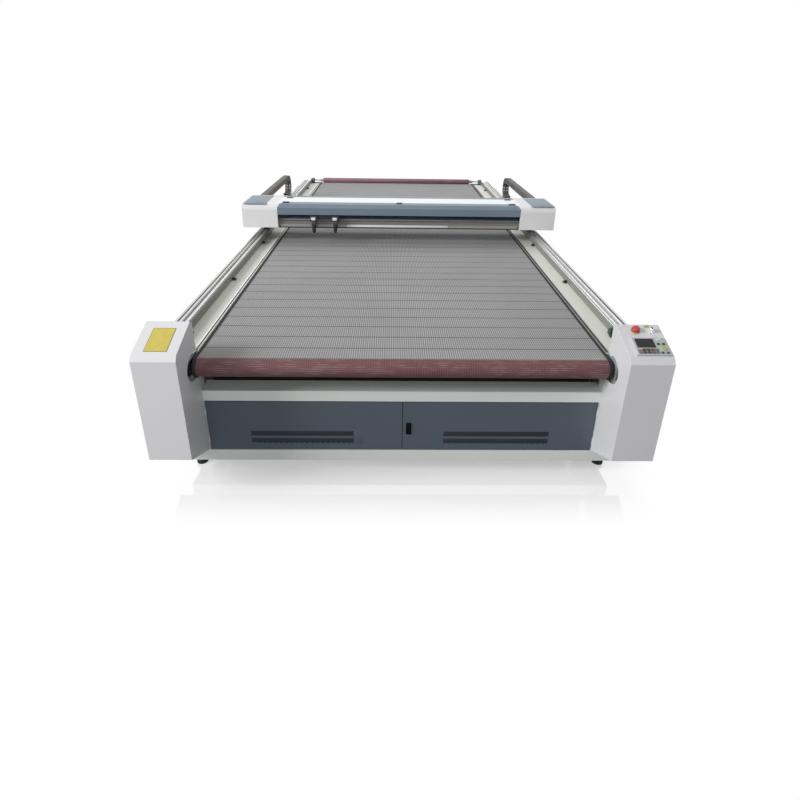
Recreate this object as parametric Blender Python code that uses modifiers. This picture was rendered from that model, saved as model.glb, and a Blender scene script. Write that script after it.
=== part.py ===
"""Gantry laser cutting machine with a mesh-belt conveyor table.

Metres, +Z up, +X to the operator's right, +Y from the operator's end to the far end.
The origin lies on the floor under the middle of the machine's outer box.
"""
import math

import bmesh
import bpy
from mathutils import Matrix, Vector

# Shared sizes
HALF_LENGTH = 2.915
MACHINE_LENGTH = HALF_LENGTH * 2
TOUCH = 0.0003
OVERRUN = 0.01
EMBED = 0.002
SHEET = 0.003
THIN_SHEET = 0.002
EDGE_ROUND = 0.004

# Working height, belt width and what follows them across the machine
BELT_TOP = 0.814
BELT_HALF_WIDTH = 1.145
BELT_PROUD = 0.004
SILL_GAP = 0.003
SILL_WIDTH = 0.152
SILL_HEIGHT = 0.0903
SILL_INNER = BELT_HALF_WIDTH + SILL_GAP
SILL_OUTER = SILL_INNER + SILL_WIDTH
SILL_TOP = BELT_TOP - BELT_PROUD

# Upright frames: two posts and a cross bar each
POST_INSET = 0.008
POST_WIDTH = 0.080
POST_DEPTH = 0.080
POST_INNER_HALF = SILL_INNER + POST_INSET
POST_OUTER_HALF = POST_INNER_HALF + POST_WIDTH
POST_TOP = SILL_TOP - SILL_HEIGHT
CROSSBAR_DROP = 0.233
CROSSBAR_HEIGHT = 0.067
CROSSBAR_TOP = BELT_TOP - CROSSBAR_DROP
CROSSBAR_BOTTOM = CROSSBAR_TOP - CROSSBAR_HEIGHT
SHELF_DEPTH = 0.116
JAMB_LIP = 0.0125
DOOR_JAMB_HALF = POST_INNER_HALF - JAMB_LIP
FRAME_SETBACK = 0.267
FRAME_REAR_MARGIN = 0.090

# Feet and welded base frame
FOOT_HEIGHT = 0.095
FOOT_RADIUS = 0.034
FOOT_PAD_HEIGHT = 0.030
FOOT_NECK_RADIUS = 0.013
FOOT_FLANGE_RADIUS = 0.026
FOOT_FLANGE_HEIGHT = 0.012
FOOT_INSET = 0.108
BASE_OVERHANG = 0.054
BASE_HALF_WIDTH = POST_OUTER_HALF + BASE_OVERHANG
BASE_RAIL_WIDTH = 0.080
BASE_RAIL_HEIGHT = 0.075
BASE_TOP = FOOT_HEIGHT + BASE_RAIL_HEIGHT
CABINET_RAIL_SETBACK = 0.620
MIDDLE_RAIL_SETBACK = 2.870

# Front doors
DOOR_SIDE_GAP = 0.003
DOOR_OUTER_HALF = DOOR_JAMB_HALF - DOOR_SIDE_GAP
DOOR_MEETING_GAP = 0.004
DOOR_DEPTH = 0.022
DOOR_RIM = 0.018
DOOR_BOTTOM_GAP = 0.005
DOOR_TOP_GAP = 0.004
VENT_START = 0.246
VENT_SLOTS = 20
VENT_PITCH = 0.0315
VENT_SLOT_WIDTH = 0.010
VENT_SLOT_HEIGHT = 0.028
VENT_ROWS = 2
VENT_RISE = 0.049
VENT_ROW_PITCH = 0.055
LUG_DEPTH = 0.0035
HINGE_BARREL = 0.040
HINGE_INSET = 0.055

# Latch on the right door
LATCH_LEFT = 0.022
LATCH_WIDTH = 0.030
LATCH_RISE = 0.118
LATCH_BOTTOM = BASE_TOP + LATCH_RISE
LATCH_HEIGHT = 0.078
LATCH_DEPTH = 0.005
HANDLE_WIDTH = 0.016
HANDLE_LENGTH = 0.058
HANDLE_DEPTH = 0.007
HANDLE_PIN_RADIUS = 0.003

# Bed: side sills, table and outer panels
SILL_FRONT = 0.305
SILL_REAR_MARGIN = 0.130
LIP_WIDTH = 0.022
LIP_HEIGHT = 0.006
TABLE_SLAB = 0.018
TABLE_RIB_WIDTH = 0.030
TABLE_RIB_DEPTH = 0.065
TABLE_RIBS = 11
TABLE_END_MARGIN = 0.110
PANEL_INSET = 0.0115
PANEL_OUTER = SILL_OUTER - PANEL_INSET
PANEL_SHEET = 0.0025
LOUVRE_GROUPS = 4
LOUVRES_PER_GROUP = 6
LOUVRE_LENGTH = 0.360
LOUVRE_HEIGHT = 0.010
LOUVRE_PITCH = 0.026
LOUVRE_RISE = 0.190
LOUVRE_LOW = BASE_TOP + LOUVRE_RISE

# Conveyor belt and rollers
BELT_THICKNESS = 0.006
BELT_GROOVE_DEPTH = 0.0016
BELT_GROOVE_WIDTH = 0.012
BELT_GROOVE_PITCH = 0.098
FRONT_ROLLER_SETBACK = 0.230
ROLLER_RADIUS = 0.0487
ROLLER_INSET = 0.020
ROLLER_BODY_HALF = BELT_HALF_WIDTH - ROLLER_INSET
ROLLER_SHAFT_RADIUS = 0.0150
ROLLER_SHAFT_END = 0.010
BORE_CLEARANCE = 0.0003
BEARING_INSET = 0.004
BEARING_WIDTH = 0.062
BEARING_INNER = POST_INNER_HALF + BEARING_INSET
BEARING_OUTER = BEARING_INNER + BEARING_WIDTH
ROLLER_SHAFT_HALF = BEARING_OUTER + ROLLER_SHAFT_END
BEARING_HEIGHT = 0.0895
BEARING_DEPTH = 0.120
BEARING_ROUND = 0.012
REAR_BEARING_OUTER = SILL_OUTER
PRESS_ROLLER_RADIUS = 0.0335
PRESS_INSET = 0.040
PRESS_BODY_HALF = BELT_HALF_WIDTH - PRESS_INSET
PRESS_SHAFT_RADIUS = 0.008
PRESS_SHAFT_END = 0.005
PRESS_BLOCK_MARGIN = 0.008
PRESS_BLOCK_WIDTH = 0.048
PRESS_BLOCK_INNER = SILL_OUTER - PRESS_BLOCK_MARGIN - PRESS_BLOCK_WIDTH
PRESS_SHAFT_HALF = PRESS_BLOCK_INNER + PRESS_BLOCK_WIDTH + PRESS_SHAFT_END
PRESS_BLOCK_DEPTH = 0.056
PRESS_BLOCK_HEIGHT = 0.066
GEARBOX_WIDTH = 0.102
GEARBOX_OUTER = BEARING_INNER + GEARBOX_WIDTH
GEARBOX_HEIGHT = 0.0895
GEARBOX_DEPTH = 0.134
MOTOR_RADIUS = 0.052
MOTOR_LENGTH = 0.230
MOTOR_SETBACK = 0.205

# Guide beams and linear rails
BEAM_WIDTH = 0.083
BEAM_OUTER = SILL_OUTER + BEAM_WIDTH
BEAM_FRONT = 0.285
BEAM_REAR_MARGIN = 0.170
BEAM_LEDGE_RISE = 0.035
BEAM_RIDGE_RISE = 0.030
BEAM_LEDGE_TOP = SILL_TOP + BEAM_LEDGE_RISE
BEAM_RIDGE_TOP = BEAM_LEDGE_TOP + BEAM_RIDGE_RISE
BEAM_LEDGE_WIDTH = 0.032
BEAM_RIDGE_ROUND = 0.009
BEAM_BAND_WIDTH = 0.032
BEAM_BAND_DROP = 0.010
BEAM_SLOT_WIDTH = 0.006
BEAM_SLOT_DEPTH = 0.006
RAIL_WIDTH = 0.020
RAIL_HEIGHT = 0.0155
RAIL_WAIST = 0.003
RAIL_INSET = 0.0135
RAIL_CENTRE = SILL_OUTER + RAIL_INSET

# Gantry: place at rest, housings, bridge and covers
GANTRY_SETBACK = 2.514
GANTRY_DEPTH = 0.431
HOUSING_RISE = 0.075
HOUSING_HEIGHT = 0.222
HOUSING_BOTTOM = BEAM_RIDGE_TOP + HOUSING_RISE
GANTRY_TOP = HOUSING_BOTTOM + HOUSING_HEIGHT
HOUSING_OVERHANG = 0.079
HOUSING_WIDTH = 0.327
HOUSING_OUTER = BEAM_OUTER + HOUSING_OVERHANG
HOUSING_INNER = HOUSING_OUTER - HOUSING_WIDTH
HOUSING_ROUND = 0.055
HOUSING_REAR_ROUND = 0.020
HOUSING_MOUTH_LIP = 0.020
HOUSING_MOUTH_DROP = 0.047
HOUSING_MOUTH_TOP = GANTRY_TOP - HOUSING_MOUTH_DROP
BRIDGE_FRONT_GAP = 0.036
BRIDGE_DEPTH = 0.170
BRIDGE_DROP = 0.008
BRIDGE_HEIGHT = 0.086
BRIDGE_BOTTOM = HOUSING_BOTTOM - BRIDGE_DROP
BRIDGE_TOP = BRIDGE_BOTTOM + BRIDGE_HEIGHT
BRIDGE_REACH = 0.165
BRIDGE_HALF = HOUSING_INNER + BRIDGE_REACH
BRIDGE_SLOT_WIDTH = 0.014
BRIDGE_SLOT_DEPTH = 0.012
BRIDGE_SLOT_DROP = 0.024
BRIDGE_ROUND = 0.006
CRADLE_X = 0.620
CRADLE_WIDTH = 0.040
CRADLE_DEPTH = 0.110
CRADLE_HEIGHT = 0.040
CRADLE_RISE = 0.040
CRADLE_BOTTOM = BRIDGE_BOTTOM + CRADLE_RISE
X_RAIL_HEIGHT = 0.024
X_RAIL_DEPTH = 0.014
X_RAIL_RISE = 0.014
X_RAIL_BOTTOM = BRIDGE_BOTTOM + X_RAIL_RISE
X_RAIL_END_GAP = 0.017
X_RAIL_HALF = HOUSING_INNER - X_RAIL_END_GAP
COVER_HEIGHT = 0.098
COVER_BOTTOM = GANTRY_TOP - COVER_HEIGHT
COVER_LIP = 0.026
COVER_CHAMFER_HEIGHT = 0.034
COVER_CHAMFER_DEPTH = 0.029
COVER_CROWN = 0.004
COVER_FRONT_TOP = 0.106
STRIP_WIDTH = 0.220
REAR_COVER_RISE = 0.010
REAR_COVER_BOTTOM = HOUSING_BOTTOM + REAR_COVER_RISE
REAR_COVER_ROUND = 0.030
LASER_TUBE_RADIUS = 0.040
LASER_TUBE_HALF = 0.850
LASER_TUBE_CAP = 0.045
LASER_TUBE_CAP_RADIUS = 0.026
CARRIAGE_WIDTH = 0.200
CARRIAGE_OVERHANG = 0.008
CARRIAGE_OUTER = BEAM_OUTER + CARRIAGE_OVERHANG
CARRIAGE_INNER = CARRIAGE_OUTER - CARRIAGE_WIDTH
CARRIAGE_LENGTH = 0.230
CARRIAGE_FRONT_GAP = 0.170
RUNNER_LENGTH = 0.100
RUNNER_WIDTH = 0.034
RUNNER_RISE = 0.005
RUNNER_BOTTOM = BEAM_LEDGE_TOP + RUNNER_RISE
CARRIAGE_LIFT = 0.062
CARRIAGE_PLATE_BOTTOM = RUNNER_BOTTOM + CARRIAGE_LIFT
X_MOTOR_INSET = 0.080
X_MOTOR_X = HOUSING_INNER + X_MOTOR_INSET
X_MOTOR_SIZE = 0.060
X_MOTOR_LENGTH = 0.090
X_MOTOR_SHAFT_RADIUS = 0.007
X_MOTOR_SHAFT = 0.024

# Cable chains and the shelves of their fixed runs
CHAIN_WIDTH = 0.072
CHAIN_SIDE_GAP = 0.001
TRAY_LIP_HEIGHT = 0.025
CHAIN_INSET = 0.039
CHAIN_CENTRE = HOUSING_OUTER - CHAIN_INSET
CHAIN_HEIGHT = 0.060
CHAIN_BEND_RADIUS = 0.108
CHAIN_DROP = 0.058
CHAIN_TOP = GANTRY_TOP - CHAIN_DROP
CHAIN_PLATE = 0.008
CHAIN_BAR = 0.007
CHAIN_BAR_LENGTH = 0.022
CHAIN_PITCH = 0.065
CHAIN_REACH = 1.550
CHAIN_BEND_SETBACK = GANTRY_SETBACK + GANTRY_DEPTH + CHAIN_REACH
CHAIN_TAIL = 0.060
CHAIN_BRACKET_LENGTH = 0.070
CHAIN_BRACKET_HEIGHT = 0.020
CHAIN_NOTCH = 0.004
BEND_SEGMENTS = 14
SHELF_LEAD = 0.270
SHELF_REAR_MARGIN = 0.295
SHELF_FRONT = GANTRY_SETBACK + GANTRY_DEPTH + SHELF_LEAD
SHELF_REAR = MACHINE_LENGTH - SHELF_REAR_MARGIN

# Front pods: folded sheet covers with an open back below the beams
POD_WIDTH = 0.230
POD_INNER = BELT_HALF_WIDTH
POD_OUTER = POD_INNER + POD_WIDTH
POD_BACK = FRAME_SETBACK - TOUCH
POD_FRONT_RISE = 0.140
POD_BACK_RISE = 0.005
POD_FRONT_BOTTOM = BASE_TOP + POD_FRONT_RISE
POD_BACK_BOTTOM = BASE_TOP + POD_BACK_RISE
POD_FRONT_PROUD = 0.098
POD_FRONT_TOP = BELT_TOP + POD_FRONT_PROUD
POD_FACET_DEPTH = 0.022
POD_FACET_RISE = 0.031
POD_RIDGE_SETBACK = 0.243
POD_RIDGE_RISE = 0.113
POD_RIDGE_HEIGHT = POD_FRONT_TOP + POD_RIDGE_RISE
POD_BEAM_GAP = 0.025
POD_BACK_OPEN_TOP = BEAM_RIDGE_TOP + POD_BEAM_GAP
POD_MOUTH_LEAD = 0.015
POD_MOUTH_DROP = 0.042
POD_MOUTH_SETBACK = FRONT_ROLLER_SETBACK - POD_MOUTH_LEAD
POD_MOUTH_HEIGHT = BELT_TOP - POD_MOUTH_DROP
POD_MOUTH_HALF_DEPTH = 0.104
POD_MOUTH_HALF_HEIGHT = 0.080

# Controls on the right pod's slope; places are along x and up the slope from the facet
PANEL_MARGIN = 0.037
PANEL_LEFT = POD_INNER + PANEL_MARGIN
PANEL_WIDTH = 0.183
PANEL_START = 0.010
PANEL_LENGTH = 0.121
PANEL_THICKNESS = 0.003
DISPLAY_MARGIN = 0.022
DISPLAY_LIFT = 0.054
DISPLAY_LEFT = PANEL_LEFT + DISPLAY_MARGIN
DISPLAY_WIDTH = 0.094
DISPLAY_START = PANEL_START + DISPLAY_LIFT
DISPLAY_LENGTH = 0.058
DISPLAY_RECESS = 0.001
E_STOP_MARGIN = 0.089
E_STOP_X = POD_INNER + E_STOP_MARGIN
E_STOP_UP = 0.190
E_STOP_COLLAR_RADIUS = 0.029
E_STOP_COLLAR_HEIGHT = 0.004
E_STOP_STEM_RADIUS = 0.011
E_STOP_HEAD_RADIUS = 0.020
E_STOP_HEAD_GAP = 0.009
E_STOP_HEAD_HEIGHT = 0.016
E_STOP_STEM_DEPTH = 0.024
KEY_MARGIN = 0.172
KEY_X = POD_INNER + KEY_MARGIN
KEY_UP = 0.185
KEY_BEZEL_RADIUS = 0.015
KEY_BEZEL_HEIGHT = 0.010
KEY_PLUG_RADIUS = 0.009
KEY_PLUG_DEPTH = 0.012
KEY_BOW_WIDTH = 0.022
KEY_BOW_LENGTH = 0.022
KEY_BOW_THICKNESS = 0.003
KEY_COLLAR = 0.003

# Twin cutting heads; their resting place is measured from the middle of the bridge
HEAD_REST = 0.697
HEAD_SPACING = 0.198
HEAD_AXIS_GAP = 0.033
HEAD_WIDTH = 0.045
HEAD_DEPTH = 0.042
HEAD_RISE = 0.042
HEAD_HEIGHT = 0.082
HEAD_BOTTOM = BRIDGE_BOTTOM + HEAD_RISE
HEAD_TOP = HEAD_BOTTOM + HEAD_HEIGHT
HEAD_ROUND = 0.004
HEAD_CHAMFER = 0.012
HEAD_BLOCK_WIDTH = 0.062
HEAD_BLOCK_HEIGHT = 0.040
HEAD_RUNNER_WIDTH = 0.034
HEAD_RUNNER_OVERLAP = 0.005
HEAD_RUNNER_HEIGHT = 0.035
HEAD_RUNNER_BOTTOM = X_RAIL_BOTTOM - HEAD_RUNNER_OVERLAP
HEAD_RUNNER_TOP = HEAD_RUNNER_BOTTOM + HEAD_RUNNER_HEIGHT
LINK_BAR_RISE = 0.058
LINK_BAR_HEIGHT = 0.020
LINK_BAR_BOTTOM = HEAD_BOTTOM + LINK_BAR_RISE
LINK_BAR_TOP = LINK_BAR_BOTTOM + LINK_BAR_HEIGHT
LINK_BAR_OVERHANG = 0.020
FOCUS_RADIUS = 0.0152
FOCUS_INSERT = 0.056
FOCUS_TOP = HEAD_BOTTOM + FOCUS_INSERT
FOCUS_COLLAR_RADIUS = 0.0175
FOCUS_COLLAR_GAP = 0.012
FOCUS_COLLAR_HEIGHT = 0.022
FOCUS_COLLAR_TOP = HEAD_BOTTOM - FOCUS_COLLAR_GAP
FOCUS_COLLAR_BOTTOM = FOCUS_COLLAR_TOP - FOCUS_COLLAR_HEIGHT
NOZZLE_LENGTH = 0.038
NOZZLE_CONE = 0.010
NOZZLE_TIP_RADIUS = 0.010
NOZZLE_TIP = FOCUS_COLLAR_BOTTOM - NOZZLE_LENGTH
NOZZLE_SHOULDER = NOZZLE_TIP + NOZZLE_CONE

# Power supply behind the right door
SUPPLY_LEFT = 0.300
SUPPLY_WIDTH = 0.420
SUPPLY_FRONT = 0.310
SUPPLY_DEPTH = 0.380
SUPPLY_HEIGHT = 0.190
SUPPLY_FINS = 9
SUPPLY_FIN_DEPTH = 0.012
SUPPLY_FIN_SHARE = 0.45

ROUND_STEPS = 24
FINE_STEPS = 32
ARC_STEPS = 6


def from_front(distance):
    """Y of a point that lies this far behind the machine's front plane."""
    return distance - HALF_LENGTH


for leftover in list(bpy.data.objects):
    bpy.data.objects.remove(leftover, do_unlink=True)

machine = bpy.data.collections.new("gantry_laser_machine")
cutters = bpy.data.collections.new("cutters")
for group in (machine, cutters):
    bpy.context.scene.collection.children.link(group)


def material(name, colour, roughness, metallic=0.0):
    made = bpy.data.materials.new(name)
    made.use_nodes = True
    shader = made.node_tree.nodes["Principled BSDF"]
    shader.inputs["Base Color"].default_value = (*colour, 1.0)
    shader.inputs["Roughness"].default_value = roughness
    shader.inputs["Metallic"].default_value = metallic
    return made


CREAM = material("cream_paint", (0.62, 0.62, 0.56), 0.45)
WHITE = material("white_paint", (0.80, 0.80, 0.83), 0.40)
DOOR_BLUE = material("door_blue_paint", (0.075, 0.115, 0.150), 0.45)
COVER_BLUE = material("cover_blue_paint", (0.16, 0.22, 0.28), 0.40)
ALUMINIUM = material("aluminium", (0.62, 0.63, 0.65), 0.35, 1.0)
STEEL = material("steel", (0.55, 0.56, 0.58), 0.30, 1.0)
DARK_METAL = material("dark_metal", (0.06, 0.065, 0.07), 0.50, 0.6)
BLACK_RUBBER = material("black_rubber", (0.02, 0.02, 0.02), 0.80)
RED_RUBBER = material("red_rubber", (0.30, 0.09, 0.11), 0.60)
MESH_GREY = material("belt_mesh", (0.25, 0.25, 0.26), 0.55, 0.3)
CHAIN_PLASTIC = material("chain_plastic", (0.07, 0.07, 0.08), 0.55)
RED_PLASTIC = material("red_plastic", (0.60, 0.03, 0.03), 0.35)
YELLOW_PLASTIC = material("yellow_plastic", (0.75, 0.55, 0.08), 0.45)
PANEL_GREY = material("panel_grey", (0.55, 0.56, 0.58), 0.50)
CHROME = material("chrome", (0.80, 0.80, 0.82), 0.12, 1.0)
GLASS = material("tube_glass", (0.70, 0.80, 0.85), 0.08)


def add_object(name, mesh, finish, collection=machine):
    made = bpy.data.objects.new(name, mesh)
    collection.objects.link(made)
    if finish is not None:
        mesh.materials.append(finish)
    if collection is cutters:
        made.hide_render = True
        made.display_type = "WIRE"
    return made


def mesh_from(work, name):
    work.normal_update()
    bmesh.ops.recalc_face_normals(work, faces=work.faces)
    mesh = bpy.data.meshes.new(name)
    work.to_mesh(mesh)
    work.free()
    return mesh


def box(name, low, high, finish=None, collection=machine, rounding=0.0):
    """A box between two corners, with its long edges rounded if asked."""
    work = bmesh.new()
    low = Vector(low)
    high = Vector(high)
    place = Matrix.Translation((low + high) / 2) @ Matrix.Diagonal((*(high - low), 1))
    bmesh.ops.create_cube(work, size=1, matrix=place)
    made = add_object(name, mesh_from(work, name), finish, collection)
    if rounding:
        add_rounding(made, rounding)
    return made


def add_rounding(target, width):
    rounding = target.modifiers.new("rounding", "BEVEL")
    rounding.width = width
    rounding.segments = 2
    rounding.limit_method = "ANGLE"
    rounding.angle_limit = math.radians(50)


AXIS_TURNS = {
    "X": Matrix(((0, 0, 1), (1, 0, 0), (0, 1, 0))).to_4x4(),
    "Y": Matrix(((1, 0, 0), (0, 0, -1), (0, 1, 0))).to_4x4(),
    "Z": Matrix.Identity(4),
}


def prism(name, loops, axis, start, end, finish=None, collection=machine):
    """An outline (its first loop) with holes (the others), drawn in the plane across
    the axis and extruded along it. Points are (y, z), (x, z) or (x, y)."""
    curve = bpy.data.curves.new(name, "CURVE")
    curve.dimensions = "2D"
    curve.fill_mode = "BOTH"
    curve.extrude = abs(end - start) / 2
    for loop in loops:
        spline = curve.splines.new("POLY")
        spline.points.add(len(loop) - 1)
        for point, (across, up) in zip(spline.points, loop):
            point.co = (across, up, 0, 1)
        spline.use_cyclic_u = True
    drawn = bpy.data.objects.new(name, curve)
    bpy.context.scene.collection.objects.link(drawn)
    evaluated = drawn.evaluated_get(bpy.context.evaluated_depsgraph_get())
    flat = bpy.data.meshes.new_from_object(evaluated)
    bpy.data.objects.remove(drawn, do_unlink=True)
    work = bmesh.new()
    work.from_mesh(flat)
    bpy.data.meshes.remove(flat)
    bmesh.ops.remove_doubles(work, verts=work.verts, dist=1e-6)
    middle = {"X": 0, "Y": 1, "Z": 2}[axis]
    shift = Vector((0, 0, 0))
    shift[middle] = (start + end) / 2
    work.transform(Matrix.Translation(shift) @ AXIS_TURNS[axis])
    return add_object(name, mesh_from(work, name), finish, collection)


def rod(name, axis, centre, radius, start, end, finish=None, collection=machine, steps=ROUND_STEPS):
    """A round bar along one axis; centre gives the other two coordinates."""
    work = bmesh.new()
    bmesh.ops.create_cone(work, cap_ends=True, segments=steps, radius1=radius,
                          radius2=radius, depth=abs(end - start))
    places = {
        "X": ((start + end) / 2, centre[0], centre[1]),
        "Y": (centre[0], (start + end) / 2, centre[1]),
        "Z": (centre[0], centre[1], (start + end) / 2),
    }
    work.transform(Matrix.Translation(places[axis]) @ AXIS_TURNS[axis])
    made = add_object(name, mesh_from(work, name), finish, collection)
    smooth(made)
    return made


def turned(name, profile, place, finish, steps=ROUND_STEPS):
    """A profile of (radius, height) points, outer side from top to bottom, turned about
    the local Z axis and set by the placing matrix. A ring's profile ends where it starts."""
    mesh = bpy.data.meshes.new(name)
    is_ring = profile[0] == profile[-1]
    points = [(radius, 0, height) for radius, height in (profile[:-1] if is_ring else profile)]
    edges = [(index, index + 1) for index in range(len(points) - 1)]
    if is_ring:
        edges.append((len(points) - 1, 0))
    mesh.from_pydata(points, edges, [])
    made = add_object(name, mesh, finish)
    made.matrix_world = place
    turning = made.modifiers.new("turning", "SCREW")
    turning.steps = steps
    turning.render_steps = steps
    turning.use_merge_vertices = True
    turning.merge_threshold = 1e-5
    turning.use_smooth_shade = False
    return made


def smooth(target):
    target.data.shade_smooth()
    target.data.set_sharp_from_angle(angle=math.radians(40))


def boolean(target, tool, operation):
    change = target.modifiers.new(operation.lower(), "BOOLEAN")
    change.operation = operation
    change.solver = "EXACT"
    change.object = tool


def boolean_with_all(target, tools, operation):
    change = target.modifiers.new(f"{operation.lower()}_all", "BOOLEAN")
    change.operation = operation
    change.solver = "EXACT"
    change.operand_type = "COLLECTION"
    change.collection = tools


def cut(target, tool):
    boolean(target, tool, "DIFFERENCE")


def fuse(target, tool):
    boolean(target, tool, "UNION")


def rectangle(low_across, low_up, high_across, high_up):
    return [(low_across, low_up), (high_across, low_up), (high_across, high_up), (low_across, high_up)]


def arc(centre, radius, start, end, steps=ARC_STEPS):
    """Points on an arc, angles in degrees."""
    points = []
    for step in range(steps + 1):
        angle = math.radians(start + (end - start) * step / steps)
        points.append((centre[0] + radius * math.cos(angle), centre[1] + radius * math.sin(angle)))
    return points


def offset_line(points, distance):
    """An open line moved sideways, to its left for a positive distance, with mitred corners."""
    moved = []
    count = len(points)
    for index, point in enumerate(points):
        before = Vector(points[max(index - 1, 0)])
        after = Vector(points[min(index + 1, count - 1)])
        here = Vector(point)
        incoming = (here - before).normalized() if index > 0 else (after - here).normalized()
        outgoing = (after - here).normalized() if index < count - 1 else incoming
        normal_in = Vector((-incoming.y, incoming.x))
        normal_out = Vector((-outgoing.y, outgoing.x))
        mitre = (normal_in + normal_out).normalized()
        moved.append(tuple(here + mitre * (distance / mitre.dot(normal_in))))
    return moved


def sheet_outline(points, thickness):
    """The closed outline of a folded sheet whose outer face follows the points."""
    return list(points) + list(reversed(offset_line(points, thickness)))


def mirrored(points, side):
    return [(side * across, up) for across, up in points]


# Places that several pieces share
FRAME_FRONT = from_front(FRAME_SETBACK)
FRAME_REAR = from_front(MACHINE_LENGTH - FRAME_REAR_MARGIN)
POST_BOTTOM = BASE_TOP + TOUCH
SILL_BOTTOM = POST_TOP + TOUCH
SILL_START = from_front(SILL_FRONT)
SILL_END = from_front(MACHINE_LENGTH - SILL_REAR_MARGIN)
BELT_RADIUS = ROLLER_RADIUS + TOUCH + BELT_THICKNESS
ROLLER_HEIGHT = BELT_TOP - BELT_RADIUS
FRONT_ROLLER_Y = from_front(FRONT_ROLLER_SETBACK)
REAR_ROLLER_Y = from_front(MACHINE_LENGTH) - BELT_RADIUS
BORE_RADIUS = ROLLER_SHAFT_RADIUS + BORE_CLEARANCE
BEAM_INNER = SILL_OUTER + TOUCH
BEAM_BOTTOM = SILL_BOTTOM
RAIL_BOTTOM = BEAM_LEDGE_TOP + TOUCH
GANTRY_FRONT = from_front(GANTRY_SETBACK)
GANTRY_REAR = from_front(GANTRY_SETBACK + GANTRY_DEPTH)
BRIDGE_FRONT = GANTRY_FRONT + BRIDGE_FRONT_GAP
BRIDGE_REAR = BRIDGE_FRONT + BRIDGE_DEPTH
CARRIAGE_PLATE_TOP = BRIDGE_BOTTOM - TOUCH
CHAIN_MIDDLE = CHAIN_TOP - CHAIN_HEIGHT / 2
CHAIN_BOTTOM = CHAIN_MIDDLE - 2 * CHAIN_BEND_RADIUS - CHAIN_HEIGHT / 2
CHAIN_SHELF_TOP = CHAIN_BOTTOM - CHAIN_HEIGHT - TOUCH
HEAD_PLACES = (-HEAD_REST - HEAD_SPACING / 2, -HEAD_REST + HEAD_SPACING / 2)
SIDES = {"left": -1, "right": 1}


def feet():
    """Four levelling feet, a rubber pad under a threaded neck and a flange."""
    profile = [
        (0, FOOT_HEIGHT - TOUCH),
        (FOOT_FLANGE_RADIUS, FOOT_HEIGHT - TOUCH),
        (FOOT_FLANGE_RADIUS, FOOT_HEIGHT - FOOT_FLANGE_HEIGHT),
        (FOOT_NECK_RADIUS, FOOT_HEIGHT - FOOT_FLANGE_HEIGHT),
        (FOOT_NECK_RADIUS, FOOT_PAD_HEIGHT + FOOT_FLANGE_HEIGHT),
        (FOOT_RADIUS - EDGE_ROUND, FOOT_PAD_HEIGHT),
        (FOOT_RADIUS, FOOT_PAD_HEIGHT - EDGE_ROUND),
        (FOOT_RADIUS, 0),
        (0, 0),
    ]
    rows = {"front": FRAME_FRONT + FOOT_INSET, "rear": FRAME_REAR - FOOT_INSET}
    for row, y in rows.items():
        for side, sign in SIDES.items():
            x = sign * (BASE_HALF_WIDTH - BASE_RAIL_WIDTH / 2)
            turned(f"{row}_{side}_foot", profile, Matrix.Translation((x, y, 0)), BLACK_RUBBER)


def base_frame():
    """A flat ladder of square tube: two long rails and four cross rails."""
    inner = BASE_HALF_WIDTH - BASE_RAIL_WIDTH
    cross_rails = [
        (FRAME_FRONT, FRAME_FRONT + BASE_RAIL_WIDTH),
        (from_front(CABINET_RAIL_SETBACK), from_front(CABINET_RAIL_SETBACK) + BASE_RAIL_WIDTH),
        (from_front(MIDDLE_RAIL_SETBACK), from_front(MIDDLE_RAIL_SETBACK) + BASE_RAIL_WIDTH),
        (FRAME_REAR - BASE_RAIL_WIDTH, FRAME_REAR),
    ]
    loops = [rectangle(-BASE_HALF_WIDTH, FRAME_FRONT, BASE_HALF_WIDTH, FRAME_REAR)]
    for nearer, farther in zip(cross_rails, cross_rails[1:]):
        loops.append(rectangle(-inner, nearer[1], inner, farther[0]))
    prism("base_frame", loops, "Z", FOOT_HEIGHT, BASE_TOP, CREAM)


def portal(name, y, lower_half):
    """Two posts joined by a cross bar, cut from one outline in the XZ plane."""
    upper_half = POST_OUTER_HALF - POST_WIDTH
    right_side = [
        (lower_half, POST_BOTTOM),
        (POST_OUTER_HALF, POST_BOTTOM),
        (POST_OUTER_HALF, POST_TOP),
        (upper_half, POST_TOP),
        (upper_half, CROSSBAR_TOP),
    ]
    left_side = [(-x, z) for x, z in reversed(right_side)]
    outline = right_side + left_side + [(-lower_half, CROSSBAR_BOTTOM), (lower_half, CROSSBAR_BOTTOM)]
    return prism(name, [outline], "Y", y, y + POST_DEPTH, CREAM)


def hinge_places():
    """Heights of the lower and upper hinge on each door."""
    low = POST_BOTTOM + HINGE_INSET
    high = CROSSBAR_BOTTOM - HINGE_INSET - HINGE_BARREL
    return low, high


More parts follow.
